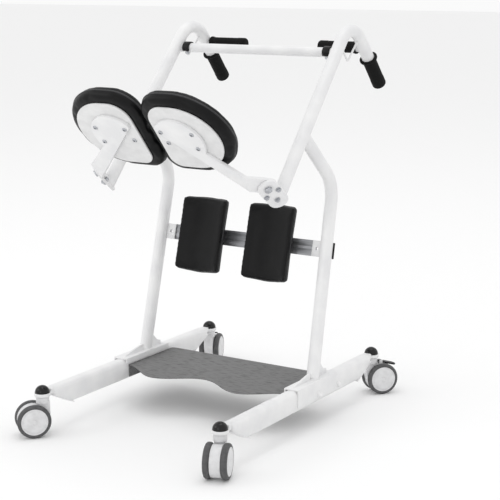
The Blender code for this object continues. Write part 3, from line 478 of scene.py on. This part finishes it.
def makeLeg():
    width, height, half = legSpec["width"], legSpec["height"], legSpec["halfLength"]
    x, top = frameSpec["halfTrack"], legSpec["top"]
    bottom = top - height
    tube = block((x - width / 2, -half, bottom), (x + width / 2, half, top))
    onlyThis(tube)
    bpy.ops.object.mode_set(mode="EDIT")
    bpy.ops.mesh.select_all(action="DESELECT")
    bpy.ops.object.mode_set(mode="OBJECT")
    for edge in tube.data.edges:
        a, b = (tube.data.vertices[i].co for i in edge.vertices)
        edge.select = abs(a.y - b.y) > half
    bpy.ops.object.mode_set(mode="EDIT")
    bpy.ops.mesh.select_mode(type="EDGE")
    bpy.ops.mesh.bevel(offset=legSpec["corner"], segments=legSpec["cornerSteps"], affect="EDGES")
    bpy.ops.mesh.select_mode(type="VERT")
    leaveEdit()
    pieces = [tube]
    drop = height - legSpec["lip"]
    slope = math.atan2(drop, legSpec["cutLength"])
    for end in (-1, 1):
        lip = Vector((x, end * half, bottom + drop))
        down = Vector((0, end * math.sin(slope), -math.cos(slope)))
        trim(tube, lip, down)
        along = Vector((0, -end * math.cos(slope), -math.sin(slope)))
        length = math.hypot(drop, legSpec["cutLength"])
        closing = block((-width / 2 + 0.0008, 0.0015, -0.0022),
                        (width / 2 - 0.0008, length + 0.0035, 0.0006),
                        Matrix.Identity(4), 0.0006, 2)
        turn = Matrix((Vector((1, 0, 0)), along, Vector((1, 0, 0)).cross(along))).transposed().to_4x4()
        if Vector((1, 0, 0)).cross(along).dot(down) > 0:
            turn = turn @ Matrix.Diagonal((-1, 1, -1, 1))
        put(closing, Matrix.Translation(lip) @ turn)
        pieces.append(closing)
        stem = end * joints["rear_right_swivel"]["pos_m"][1]
        low, high = legSpec["socketBottom"], legSpec["socketTop"]
        r = legSpec["socketRadius"]
        socket = lathe([(0, high - 0.0004), (r - 0.0035, high - 0.0004), (r - 0.0030, high),
                        (r - 0.0010, high),
                        (r - 0.0003, high - 0.0003), (r, high - 0.0010), (r, low + 0.0012),
                        (r - 0.0004, low + 0.0004), (r - 0.0012, low), (0.008, low), (0, low)],
                       Matrix.Translation((x, stem, 0)), 56)
        neckHalf = legSpec["neckWidth"] / 2
        near, far = sorted((end * (half - 0.02), stem - end * 0.0235))
        neck = block((x - neckHalf, near, low + 0.0004), (x + neckHalf, far, top - 0.0016),
                     Matrix.Identity(4), 0.0022, 3)
        near, far = sorted((end * (half - 0.02), stem - end * 0.004))
        web = block((x - neckHalf + 0.001, near, low + 0.0008), (x + neckHalf - 0.001, far, high - 0.0008),
                    Matrix.Identity(4), 0.0008, 2)
        pieces += [socket, neck, web]
    softenEdges(tube, 0.0008, 2, 32, 38)
    for piece in pieces[1:]:
        softenEdges(piece, 0)
    return joined(*pieces)


legPiece = makeLeg()
dressBoth(legPiece, "Leg", "frame", whitePowderCoat, "white_powder_coat", "{side}_leg")
print("legs made")


# saddles over the legs, with their gussets and dome nuts

saddlePiece = fromCad("right_saddle", 0.0012, 3)
nutSpec = {"places": ((0.058, 0.0243), (0.179, 0.0200)), "z": 0.097, "radius": 0.0084}


def domeNut(radius):
    collar = [(0, 0.0115), (radius * 0.35, 0.0111), (radius * 0.66, 0.0095), (radius * 0.86, 0.0068),
              (radius * 0.92, 0.0046), (radius * 0.95, 0.0026), (radius * 1.22, 0.0016),
              (radius * 1.25, 0.0006), (radius * 1.25, -0.001), (0, -0.001)]
    return lathe(collar, Matrix(), 28)


nuts = []
for y, out in nutSpec["places"]:
    nut = domeNut(nutSpec["radius"])
    put(nut, facing((frameSpec["halfTrack"] + out, y, nutSpec["z"]), (1, 0, 0), (0, 1, 0)))
    nuts.append(softenEdges(nut, 0, smooth=40))
nutPiece = joined(*nuts)
dressBoth(saddlePiece, "Saddle", "frame", whitePowderCoat, "white_powder_coat", "{side}_saddle")
dressBoth(nutPiece, "SaddleNuts", "frame", whitePowderCoat, "white_powder_coat")
print("saddles made")


# casters: moulded hood, twin wheels, gloss dome over the stem, pedal on the rear pair

casterSpec = {
    "wheelRadius": 0.050, "wheelWidth": 0.0185, "bulge": 0.0022, "hubShare": 0.80,
    "hoodWidth": 0.030, "clearance": 0.0008, "domeRadius": 0.022, "domeBase": 0.1288,
    "hubBore": 0.0043,
}


def wheelParts():
    # local z runs out along the axle from the hood's side
    R, W = casterSpec["wheelRadius"], casterSpec["wheelWidth"]
    hub = R * casterSpec["hubShare"]
    bulge = casterSpec["bulge"]
    tread = [(hub - 0.0012, W - 0.0014), (hub + 0.0004, W - 0.0002), (hub + 0.0022, W),
             (R - 0.0048, W - 0.0007),
             (R - 0.0026, W - 0.0018), (R - 0.0010, W - 0.0036), (R - 0.0002, W - 0.0060), (R, W / 2),
             (R - 0.0002, 0.0060), (R - 0.0010, 0.0036), (R - 0.0026, 0.0018), (R - 0.0048, 0.0007),
             (hub + 0.0022, 0.0), (hub - 0.0012, 0.0012), (hub - 0.0012, W - 0.0014)]
    tyre = softenEdges(lathe(tread, Matrix(), 72), 0, smooth=50)
    dish = [(0, W + bulge), (0.0040, W + bulge), (0.0068, W + bulge - 0.0002), (0.0076, W + bulge - 0.0011),
            (0.0086, W + bulge - 0.0011), (0.0094, W + bulge - 0.0004), (0.018, W + bulge - 0.0005),
            (0.027, W + bulge - 0.0009), (0.0325, W + bulge - 0.0015), (0.0341, W + bulge - 0.0028),
            (0.0354, W + bulge - 0.0030), (0.0362, W + bulge - 0.0020), (0.0388, W + bulge - 0.0022),
            (hub - 0.0006, W - 0.0006), (hub - 0.0006, 0.0008), (hub - 0.003, 0.0004), (0.0360, 0.0012),
            (0.0340, 0.0020), (0.012, 0.0020), (0.0105, 0.0003), (casterSpec["hubBore"], 0.0003),
            (casterSpec["hubBore"], 0.6 * W), (0, 0.6 * W)]
    centre = softenEdges(lathe(dish, Matrix(), 72), 0, smooth=40)
    return tyre, centre


tyreMaster, hubMaster = wheelParts()
domeRadius = casterSpec["domeRadius"]
domeProfile = [(domeRadius * math.cos(math.radians(a)), domeRadius * math.sin(math.radians(a)))
               for a in range(90, -1, -6)]
domeMaster = lathe(domeProfile + [(casterSpec["domeRadius"] - 0.0006, -0.0001), (0, -0.0001)], Matrix(), 56)
softenEdges(domeMaster, 0, smooth=60)

for corner in corners:
    stem = Vector(joints[corner + "_swivel"]["pos_m"])
    axle = Vector(joints[corner + "_wheel_a_spin"]["pos_m"])
    axis = Vector(joints[corner + "_wheel_a_spin"]["axis"])
    dress(fromCad(corner + "_caster_hood", 0.0014, 3), corner + "_hood", corner + "_caster", palePlastic,
          "light_grey_plastic", corner + "_caster_hood")
    dress(fromCad(corner + "_axle", 0.0004, 2), corner + "_axlePin", corner + "_caster", zincSteel,
          "zinc_plated_steel", corner + "_axle")
    for hand, sign in (("a", 1), ("b", -1)):
        inner = casterSpec["hoodWidth"] / 2 + casterSpec["clearance"]
        place = facing(axle + axis * (sign * inner), axis * sign, (0, 0, 1))
        tyre, hub = put(copied(tyreMaster), place), put(copied(hubMaster), place)
        label = corner + "_wheel_" + hand
        dress(tyre, label + "_tyre", label, tyreRubber, "grey_tyre_rubber", label)
        dress(hub, label + "_hub", label, palePlastic, "light_grey_plastic", label)
    dome = put(copied(domeMaster), Matrix.Translation((stem.x, stem.y, casterSpec["domeBase"])))
    dress(dome, corner + "_dome", "frame", glossBlackPlastic, "black_plastic", corner + "_dome_cap")
    if corner.startswith("rear"):
        pedal = fromCad(corner + "_brake_pedal", 0.0008, 3)
        dress(pedal, corner + "_pedal", corner + "_brake", satinBlackPlastic, "black_plastic",
              corner + "_brake_pedal")
for master in (tyreMaster, hubMaster, domeMaster):
    bpy.data.objects.remove(master)
print("casters made")


# crossbar and its clips

barLow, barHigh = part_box("crossbar")
barY, barZ = (barLow.y + barHigh.y) / 2, (barLow.z + barHigh.z) / 2
barRadius = (barHigh.z - barLow.z) / 2
barPiece = runTube([(-barHigh.x, barY, barZ), (barHigh.x, barY, barZ)], barRadius, 0.05, 36)
softenEdges(barPiece, 0.0006, 2)
dress(barPiece, "crossbarTube", "frame", whitePowderCoat, "white_powder_coat", "crossbar")

clipLow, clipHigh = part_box("right_crossbar_clip")
clipSpec = {"from": -35, "to": 214, "boltAngle": 250, "gap": 0.0002,
            "boltRadius": 0.0068, "boltEdge": 0.0012, "boltEnds": (0.0150, 0.0212)}
clipRadius = (clipHigh.z - clipLow.z) / 2
clipWidth = clipHigh.x - clipLow.x
clipOutline = (arc((0, 0), clipRadius, clipSpec["from"], clipSpec["to"], 32)
               + arc((0, 0), barRadius + clipSpec["gap"], clipSpec["to"], clipSpec["from"], 32))
band = plate(clipOutline, clipWidth, facing((clipLow.x, barY, barZ), (1, 0, 0), (0, 1, 0)))
softenEdges(band, 0.0009, 2, 40)
boltTurn = math.radians(clipSpec["boltAngle"])
boltWay = Vector((0, math.cos(boltTurn), math.sin(boltTurn)))
boltNear, boltFar = clipSpec["boltEnds"]
boltRadius, boltEdge = clipSpec["boltRadius"], clipSpec["boltEdge"]
clipBolt = lathe([(0, boltNear), (boltRadius, boltNear), (boltRadius, boltFar - boltEdge),
                  (boltRadius - boltEdge, boltFar), (0, boltFar)],
                 facing(((clipLow.x + clipHigh.x) / 2, barY, barZ), boltWay), 28)
softenEdges(clipBolt, 0, smooth=35)
dressBoth(clipBolt, "ClipBolt", "frame", zincSteel, "zinc_plated_steel")
dressBoth(band, "CrossbarClip", "frame", satinBlackPlastic, "black_plastic", "{side}_crossbar_clip")
print("crossbar made")


# grips

gripSpec = {"length": 0.112, "outer": 0.0216, "flange": 0.0278, "bore": 0.0191}


def sleeve(length, outer, flange, bore, end, place, ribs=0):
    profile = [(bore, 0.0002), (flange - 0.0012, 0.0002), (flange - 0.0003, 0.0009), (flange, 0.0022),
               (flange, 0.0052), (flange - 0.0008, 0.0070), (outer + 0.0010, 0.0092),
               (outer - 0.0006, 0.0120)]
    ribStart, ribEnd = 0.0140, length - 0.030
    for i in range(ribs):
        z = ribStart + (ribEnd - ribStart) * i / ribs
        pitch = (ribEnd - ribStart) / ribs
        profile += [(outer - 0.0012, z), (outer - 0.0006, z + pitch * 0.25),
                    (outer - 0.0006, z + pitch * 0.75)]
    profile += [(outer - 0.0012, ribEnd), (outer - 0.0002, ribEnd + 0.004), (outer, ribEnd + 0.008),
                (outer, length - 0.002), (outer - 0.0006, length + 0.0008),
                (outer - 0.0022, length + 0.0032),
                (outer - 0.0050, length + end - 0.0006), (outer - 0.0080, length + end), (0, length + end)]
    return softenEdges(lathe(profile, place, 48), 0, smooth=45)


gripPlace = facing(handleEnd - handleHeading * (gripSpec["length"] - 0.0003), handleHeading)
handleGrip = sleeve(gripSpec["length"], gripSpec["outer"], gripSpec["flange"], gripSpec["bore"],
                    0.0049, gripPlace, 10)
dressBoth(handleGrip, "HandleGrip", "frame", blackFoam, "black_foam_rubber", "{side}_handle_grip")
innerSpec = {"length": 0.128, "outer": 0.0182, "flange": 0.0201, "bore": 0.0141, "end": 0.0049}
innerStart = stubSpec["length"] - innerSpec["length"] + 0.0003
innerPlace = facing(stubRoot - Vector((innerStart, 0, 0)), (-1, 0, 0), (0, 1, 0))
innerGrip = sleeve(innerSpec["length"], innerSpec["outer"], innerSpec["flange"], innerSpec["bore"],
                   innerSpec["end"], innerPlace, 12)
dressBoth(innerGrip, "InnerGrip", "frame", blackFoam, "black_foam_rubber", "{side}_inner_grip")
print("grips made")


# sling hooks: a thin rod bent to a V between arm and handle

hookPiece = fromCad("right_sling_hook", 0)
dressBoth(hookPiece, "SlingHook", "frame", whitePowderCoat, "white_powder_coat", "{side}_sling_hook")
print("hooks made")


# footplate with its two lobes and its side flanges

footSpec = {"top": 0.120, "thickness": 0.003, "rear": 0.190, "front": -0.118, "notch": -0.052,
            "flange": 0.040, "flangeFront": -0.060, "steps": 90, "corner": 0.012}


def footEdge(x, half):
    lobe = 0.52 * half
    if abs(x) < lobe:
        share = (1 - math.cos(math.pi * abs(x) / lobe)) / 2
        return footSpec["notch"] + (footSpec["front"] - footSpec["notch"]) * share
    share = (1 - math.cos(math.pi * (abs(x) - lobe) / (half - lobe))) / 2
    return footSpec["front"] + (footSpec["flangeFront"] + 0.012 - footSpec["front"]) * share


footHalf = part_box("footplate")[1].x
steps, corner = footSpec["steps"], footSpec["corner"]
footOutline = [(footHalf * (2 * i / steps - 1), footEdge(footHalf * (2 * i / steps - 1), footHalf))
               for i in range(steps + 1)]
footOutline += arc((footHalf - corner, footSpec["rear"] - corner), corner, 0, 90, 8)
footOutline += arc((corner - footHalf, footSpec["rear"] - corner), corner, 90, 180, 8)
footPieces = [plate(footOutline, footSpec["thickness"],
                    Matrix.Translation((0, 0, footSpec["top"] - footSpec["thickness"])))]
for sign in (-1, 1):
    near, far = sorted((sign * footHalf, sign * (footHalf - footSpec["thickness"])))
    footPieces.append(block((near, footSpec["flangeFront"] + 0.013, footSpec["top"] - footSpec["flange"]),
                            (far, footSpec["rear"] - 0.013, footSpec["top"] - 0.0012)))
for piece in footPieces:
    softenEdges(piece, 0.0007, 2, 40)
dress(joined(*footPieces), "footplateSheet", "frame", greyGripCoat, "grey_grip_coating", "footplate")
print("footplate made")


# knee support: flat bar, tabs, curved shells and soft pads

dress(fromCad("knee_bar", 0.0006, 2), "kneeBar", "frame", strapSteel, "zinc_plated_steel", "knee_bar")
dressBoth(fromCad("right_knee_tab", 0.0006, 2), "KneeTab", "frame", whitePowderCoat, "white_powder_coat",
          "{side}_knee_tab")
kneeShell = fromCad("right_knee_pad_shell", 0.0008, 2)
dressBoth(kneeShell, "KneeShell", "frame", satinBlackPlastic, "black_plastic",
          "{side}_knee_pad_shell")

kneeSpec = {"origin": (0.1224, 0.12335, 0.52479), "tilt": 15.5, "width": 0.157, "height": 0.222,
            "thickness": 0.028, "radius": 0.150, "shrink": 0.0006, "bow": 0.006,
            "voxel": 0.004, "cap": 0.0025, "pipingRadius": 0.0021, "pipingLevel": 0.60}
kneeTilt = math.radians(kneeSpec["tilt"])
kneeUp = Vector((0, math.sin(kneeTilt), math.cos(kneeTilt)))
kneePlace = facing(kneeSpec["origin"], kneeUp)


def swell(piece, voxel, cap, pressure=4.0, limit=None, smoothing=6):
    # cloth blown up a little, so the faces crown and the edges draw in
    onlyThis(piece)
    shape = piece.modifiers.new("voxels", "REMESH")
    shape.mode = "VOXEL"
    shape.voxel_size = voxel
    applyModifier(piece, shape)
    before = [vertex.co.copy() for vertex in piece.data.vertices]
    cloth = piece.modifiers.new("stuffing", "CLOTH")
    cloth.settings.use_pressure = True
    cloth.settings.uniform_pressure_force = pressure
    cloth.settings.effector_weights.gravity = 0
    cloth.settings.quality = 4
    cloth.settings.tension_stiffness = 40
    cloth.settings.compression_stiffness = 40
    cloth.settings.bending_stiffness = 8
    cloth.point_cache.frame_start = 1
    cloth.point_cache.frame_end = 20
    for moment in range(1, 21):
        bpy.context.scene.frame_set(moment)
    applyModifier(piece, cloth)
    bpy.context.scene.frame_set(1)
    for vertex, old in zip(piece.data.vertices, before):
        move = vertex.co - old
        if move.length > cap:
            vertex.co = old + move.normalized() * cap
    onlyThis(piece)
    bpy.ops.object.mode_set(mode="EDIT")
    bpy.ops.mesh.select_all(action="SELECT")
    bpy.ops.mesh.vertices_smooth(factor=0.5, repeat=smoothing)
    bpy.ops.object.mode_set(mode="OBJECT")
    if limit:
        for vertex in piece.data.vertices:
            vertex.co = limit(vertex.co)
    finer = piece.modifiers.new("finer", "SUBSURF")
    finer.levels = finer.render_levels = 1
    applyModifier(piece, finer)
    onlyThis(piece)
    bpy.ops.object.shade_smooth()
    return piece


def fitTo(piece, place, low, high):
    # scaled along its own axes to fill the box from low to high
    inside = place.inverted()
    points = [inside @ vertex.co for vertex in piece.data.vertices]
    ends = [(min(point[k] for point in points), max(point[k] for point in points)) for k in range(3)]
    for vertex, point in zip(piece.data.vertices, points):
        for k, (least, most) in enumerate(ends):
            if low[k] is not None:
                point[k] = low[k] + (point[k] - least) * (high[k] - low[k]) / (most - least)
        vertex.co = place @ point
    return piece


def piping(points, radius, name):
    # a closed cord of welting through the points
    curve = bpy.data.curves.new(name, "CURVE")
    curve.dimensions = "3D"
    curve.bevel_depth = radius
    curve.bevel_resolution = 3
    spline = curve.splines.new("POLY")
    spline.points.add(len(points) - 1)
    for point, where in zip(spline.points, points):
        point.co = (*where, 1.0)
    spline.use_cyclic_u = True
    cord = bpy.data.objects.new(name, curve)
    bpy.context.scene.collection.objects.link(cord)
    onlyThis(cord)
    bpy.ops.object.convert(target="MESH")
    cord = bpy.context.object
    bpy.ops.object.mode_set(mode="EDIT")
    leaveEdit(merge=0.000002)
    onlyThis(cord)
    bpy.ops.object.shade_smooth()
    return cord


def kneeBlank():
    r, t, s = kneeSpec["radius"], kneeSpec["thickness"], kneeSpec["shrink"]
    halfWidth = kneeSpec["width"] / 2 - s
    inner, outer = r + s, r + t - s
    near, far = math.degrees(math.asin(halfWidth / inner)), math.degrees(math.asin(halfWidth / outer))
    outline = arc((0, -r), outer, 90 - far, 90 + far, 24) + arc((0, -r), inner, 90 + near, 90 - near, 24)
    height = kneeSpec["height"] - 2 * s
    blank = softenEdges(plate(outline, height, Matrix.Translation((0, 0, -height / 2))), 0.0085, 5, 40)
    onlyThis(blank)
    bpy.ops.object.mode_set(mode="EDIT")
    bpy.ops.mesh.select_all(action="SELECT")
    bpy.ops.mesh.bisect(plane_co=(0, 0, 0), plane_no=(1, 0, 0))
    bpy.ops.object.mode_set(mode="OBJECT")
    for vertex in blank.data.vertices:    # ends bowed out a little in the middle
        share = 1 - (vertex.co.x / halfWidth) ** 2
        vertex.co.z *= 1 + 2 * kneeSpec["bow"] / height * share
    return put(blank, kneePlace)


def kneeLimit(point):
    # stays within the pad's room: clear of its shell
    local = kneePlace.inverted() @ point
    r, t = kneeSpec["radius"], kneeSpec["thickness"]
    flat = Vector((local.x, local.y + r, 0))
    if flat.length > r + t:
        flat = flat.normalized() * (r + t)
        local.x, local.y = flat.x, flat.y - r
    return kneePlace @ local


kneePad = swell(kneeBlank(), kneeSpec["voxel"], kneeSpec["cap"], limit=kneeLimit)
kneeReach = kneeSpec["height"] / 2 + kneeSpec["bow"]
kneeSide = kneeSpec["width"] / 2
fitTo(kneePad, kneePlace, (-kneeSide, None, -kneeReach), (kneeSide, None, kneeReach))


def kneeWelt():
    # round the pad's four sides, at a share of its thickness from the hollow
    r, t = kneeSpec["radius"], kneeSpec["thickness"]
    level = r + t * kneeSpec["pipingLevel"]
    halfWidth, halfHeight, corner = kneeSpec["width"] / 2, kneeSpec["height"] / 2, 0.012
    sweep = math.asin(halfWidth / level)
    loop = []
    for cx, cz, start in ((1, 1, 0), (-1, 1, 90), (-1, -1, 180), (1, -1, 270)):
        centre = (cx * (level * sweep - corner), cz * (halfHeight - corner))
        loop += arc(centre, corner, start, start + 90, 6)
    points = []
    for (x0, z0), (x1, z1) in zip(loop, loop[1:] + loop[:1]):
        count = max(1, int(math.hypot(x1 - x0, z1 - z0) / 0.006))
        points += [(x0 + (x1 - x0) * i / count, z0 + (z1 - z0) * i / count) for i in range(count)]
    places = []
    for across, z in points:
        turn = across / level
        bowed = z * (1 + 2 * kneeSpec["bow"] / kneeSpec["height"] * (1 - (turn / sweep) ** 2))
        guess = kneePlace @ Vector((level * math.sin(turn), level * math.cos(turn) - r, bowed))
        middle = kneePlace @ Vector((0.55 * level * math.sin(turn),
                                     level * math.cos(0.55 * turn) - r, z * 0.75))
        hit, where, normal, face = kneePad.ray_cast(guess + (guess - middle).normalized() * 0.03,
                                                     (middle - guess).normalized())
        places.append(where - normal * 0.0004 if hit else guess)
    return piping(places, kneeSpec["pipingRadius"], "kneeWelt")


bpy.context.view_layer.update()
kneeCord = kneeWelt()
kneePair = dressBoth(kneePad, "KneePad", "frame", blackVinyl, "black_vinyl", "{side}_knee_pad")
# the welt's grey, lighter than the pad's vinyl, is a painted highlight
dressBoth(kneeCord, "KneePadWelt", "frame", vinylPiping, "black_vinyl")
print("knee pads made")


# seat halves: cushion, board, paddle with its bar and lug, screws, hinge plate and bolts

seatSpec = {"origin": (0, -0.304, 0.890), "tilt": 50.0, "inner": 0.006, "outer": 0.266, "halfDepth": 0.1425,
            "thickness": 0.050, "shrink": 0.002, "voxel": 0.005, "cap": 0.006,
            "pipingRadius": 0.0028, "board": 0.006, "boardInset": 0.026}
seatTilt = math.radians(seatSpec["tilt"])
seatUnder = Vector((0, -math.sin(seatTilt), -math.cos(seatTilt)))
seatPlace = facing(seatSpec["origin"], seatUnder)    # X across, Y up the slope, Z out of the underside


def halfSeat(inset, steps=40):
    inner, half = seatSpec["inner"] + inset, seatSpec["halfDepth"] - inset
    centre = seatSpec["inner"] + 0.110
    reach = seatSpec["outer"] - inset - centre
    points = []
    for i in range(steps + 1):
        angle = math.radians(-90 + 180 * i / steps)
        points.append((centre + reach * math.cos(angle), half * math.sin(angle)))
    top, low = 0.075 - inset * 0.6, 0.052 - inset * 0.6
    points += arc((inner + top, half - top), top, 90, 180, 14)
    points += arc((inner + low, low - half), low, 180, 270, 12)
    kept = [points[0]]
    for point in points[1:]:
        if math.dist(point, kept[-1]) > 0.0005:
            kept.append(point)
    return kept


def seatLimit(point):
    # the underside stays flat where it lies on the board
    local = seatPlace.inverted() @ point
    local.z = min(local.z, 0.0)
    local.x = max(local.x, seatSpec["inner"] - 0.003)
    return seatPlace @ local


cushionDepth = seatSpec["thickness"] - 0.005
cushionBlank = plate(halfSeat(seatSpec["shrink"]), cushionDepth,
                     seatPlace @ Matrix.Translation((0, 0, -cushionDepth - 0.001)))
softenEdges(cushionBlank, 0.012, 5, 40)
cushion = swell(cushionBlank, seatSpec["voxel"], seatSpec["cap"], limit=seatLimit)
fitTo(cushion, seatPlace, (seatSpec["inner"] - 0.002, -seatSpec["halfDepth"], -seatSpec["thickness"]),
      (seatSpec["outer"], seatSpec["halfDepth"], 0.0))


def cushionWelt(level, name):
    bpy.context.view_layer.update()
    outline = halfSeat(0.0, 60)
    centre = Vector((seatSpec["inner"] + 0.115, 0.0))
    dense = []
    for (x0, y0), (x1, y1) in zip(outline, outline[1:] + outline[:1]):
        count = max(1, int(math.hypot(x1 - x0, y1 - y0) / 0.006))
        dense += [(x0 + (x1 - x0) * i / count, y0 + (y1 - y0) * i / count) for i in range(count)]
    places = []
    for x, y in dense:
        outward = Vector((x - centre.x, y - centre.y, 0)).normalized()
        far = seatPlace @ (Vector((x, y, level)) + outward * 0.04)
        aim = (seatPlace.to_3x3() @ -outward).normalized()
        hit, where, normal, face = cushion.ray_cast(far, aim)
        places.append(where - normal * 0.0006 if hit else seatPlace @ Vector((x, y, level)))
    return piping(places, seatSpec["pipingRadius"], name)


seatCord = cushionWelt(-0.024, "seatWelt")
seatPair = dressBoth(cushion, "Cushion", "{side}_seat", blackVinyl, "black_vinyl", "{side}_seat_cushion")
# the welt's grey, lighter than the cushion's vinyl, is a painted highlight
dressBoth(seatCord, "CushionWelt", "{side}_seat", vinylPiping, "black_vinyl")

boardPiece = plate(halfSeat(seatSpec["boardInset"]), seatSpec["board"],
                   seatPlace @ Matrix.Translation((0, 0, 0.0003)))
softenEdges(boardPiece, 0.0018, 3, 40)
dressBoth(boardPiece, "SeatBoard", "{side}_seat", boardPlastic, "light_grey_plastic", "{side}_seat_board")

armPlate = fromCad("right_seat_arm", 0.0012, 3)
dressBoth(armPlate, "SeatArm", "{side}_seat", whitePowderCoat, "white_powder_coat", "{side}_seat_arm")

screwSpec = {"places": ((0.1646, 0.0313, 0.0166), (0.0615, 0.0318, 0.0166), (0.161, -0.0243, 0.0166),
                        (0.0585, -0.0208, 0.0063)), "radius": 0.0072}


def panScrew(radius):
    head = [(0, 0.0006), (radius * 0.38, 0.0008), (radius * 0.42, 0.0037), (radius * 0.58, 0.0034),
            (radius * 0.82, 0.0026), (radius * 0.96, 0.0014), (radius, 0.0004), (radius, -0.0008),
            (0, -0.0008)]
    return softenEdges(lathe(head, Matrix(), 28), 0, smooth=40)


screws = []
for spot in screwSpec["places"]:
    screws.append(put(panScrew(screwSpec["radius"]), seatPlace @ Matrix.Translation(spot)))
dressBoth(joined(*screws), "SeatScrews", "{side}_seat", zincSteel, "zinc_plated_steel")
print("seat halves made")

hingeSpec = {"plate": 0.008, "across": (0.637, 0.771, 0), "boltRadius": 0.0062,
             "boltOffsets": ((0.031, -0.004), (0.002, -0.033), (0.036, -0.044))}
hingePlate = fromCad("right_hinge_plate", 0.0010, 3)
dressBoth(hingePlate, "HingePlate", "frame", whitePowderCoat, "white_powder_coat",
          "{side}_hinge_plate")
dressBoth(fromCad("right_pivot_bolt", 0.0007, 2), "PivotBolt", "frame", zincSteel, "zinc_plated_steel",
          "{side}_pivot_bolt")
acrossPlate = Vector(hingeSpec["across"]).normalized()
upPlate = plateNormal.cross(acrossPlate).normalized()
if upPlate.z < 0:
    upPlate = -upPlate


def hexNut(radius):
    washer = lathe([(0, 0.0012), (radius * 1.30, 0.0012), (radius * 1.36, 0.0006), (radius * 1.36, -0.0008),
                    (0, -0.0008)], Matrix(), 32)
    nut = lathe([(0, 0.0066), (radius * 0.80, 0.0066), (radius, 0.0058), (radius, 0.0008),
                 (0, 0.0008)], Matrix(), 6)
    end = lathe([(0, 0.0088), (radius * 0.38, 0.0088), (radius * 0.48, 0.0080), (radius * 0.48, 0.0050),
                 (0, 0.0050)], Matrix(), 24)
    return joined(*(softenEdges(piece, 0, smooth=30) for piece in (washer, nut, end)))


bolts = []
for u, v in hingeSpec["boltOffsets"]:
    for level, way in ((hingeSpec["plate"], 1), (0, -1)):    # nuts outside, bolt heads inside
        spot = plateFace + plateNormal * level + acrossPlate * u + upPlate * v
        bolts.append(put(hexNut(hingeSpec["boltRadius"]), facing(spot, plateNormal * way, (1, 0, 0))))
dressBoth(joined(*bolts), "HingeBolts", "frame", zincSteel, "zinc_plated_steel")
print("hinges made")


# floor, light and camera

studioSpec = {"floor": "f6f6f6", "floorSize": 60.0, "world": 0.96,
              "cameraAt": (2.3250, -3.4159, 1.3684), "lens": 101.2,
              "turns": (32.689, 78.25, -0.316)}
onlyThis(None)
bpy.ops.mesh.primitive_plane_add(size=studioSpec["floorSize"])
floor = bpy.context.object
floor.name = "studioFloor"
floorPaint = bpy.data.materials.new("studioFloorPaint")    # matt white paper: even, no gloss
floorPaint.use_nodes = True
floorFinish = floorPaint.node_tree.nodes["Principled BSDF"].inputs
floorFinish["Base Color"].default_value = hexColour(studioSpec["floor"])
floorFinish["Roughness"].default_value = 0.9
floorFinish["Specular IOR Level"].default_value = 0.1
floor.data.materials.append(floorPaint)

world = bpy.data.worlds.new("studioAir")
world.use_nodes = True
world.node_tree.nodes["Background"].inputs["Color"].default_value = (1, 1, 1, 1)
world.node_tree.nodes["Background"].inputs["Strength"].default_value = studioSpec["world"]
bpy.context.scene.world = world

lampSpec = {
    "key": {"at": (-3.6, -3.4, 3.2), "size": (2.2, 2.2), "power": 26},
    "top": {"at": (0.4, 0.6, 7.0), "size": (4.0, 4.0), "power": 60},
    "strip": {"at": (0.3, -4.6, 1.9), "size": (0.35, 2.6), "power": 10},
}
for name, lamp in lampSpec.items():
    light = bpy.data.lights.new(name, "AREA")
    light.shape = "RECTANGLE"
    light.size, light.size_y = lamp["size"]
    light.energy = lamp["power"]
    holder = bpy.data.objects.new(name, light)
    bpy.context.scene.collection.objects.link(holder)
    aim = Vector((0, 0, 0.6)) - Vector(lamp["at"])
    holder.matrix_world = Matrix.Translation(lamp["at"]) @ aim.to_track_quat("-Z", "Y").to_matrix().to_4x4()

camera = bpy.data.objects.new("camera", bpy.data.cameras.new("camera"))
bpy.context.scene.collection.objects.link(camera)
camera.data.lens = studioSpec["lens"]
camera.data.sensor_width = 36
turnZ, turnX, roll = (math.radians(a) for a in studioSpec["turns"])
camera.matrix_world = (Matrix.Translation(studioSpec["cameraAt"]) @ Matrix.Rotation(turnZ, 4, "Z")
                       @ Matrix.Rotation(turnX, 4, "X") @ Matrix.Rotation(roll, 4, "Z"))
bpy.context.scene.camera = camera
bpy.context.scene.view_settings.view_transform = "Standard"    # whites stay white
print("studio made")
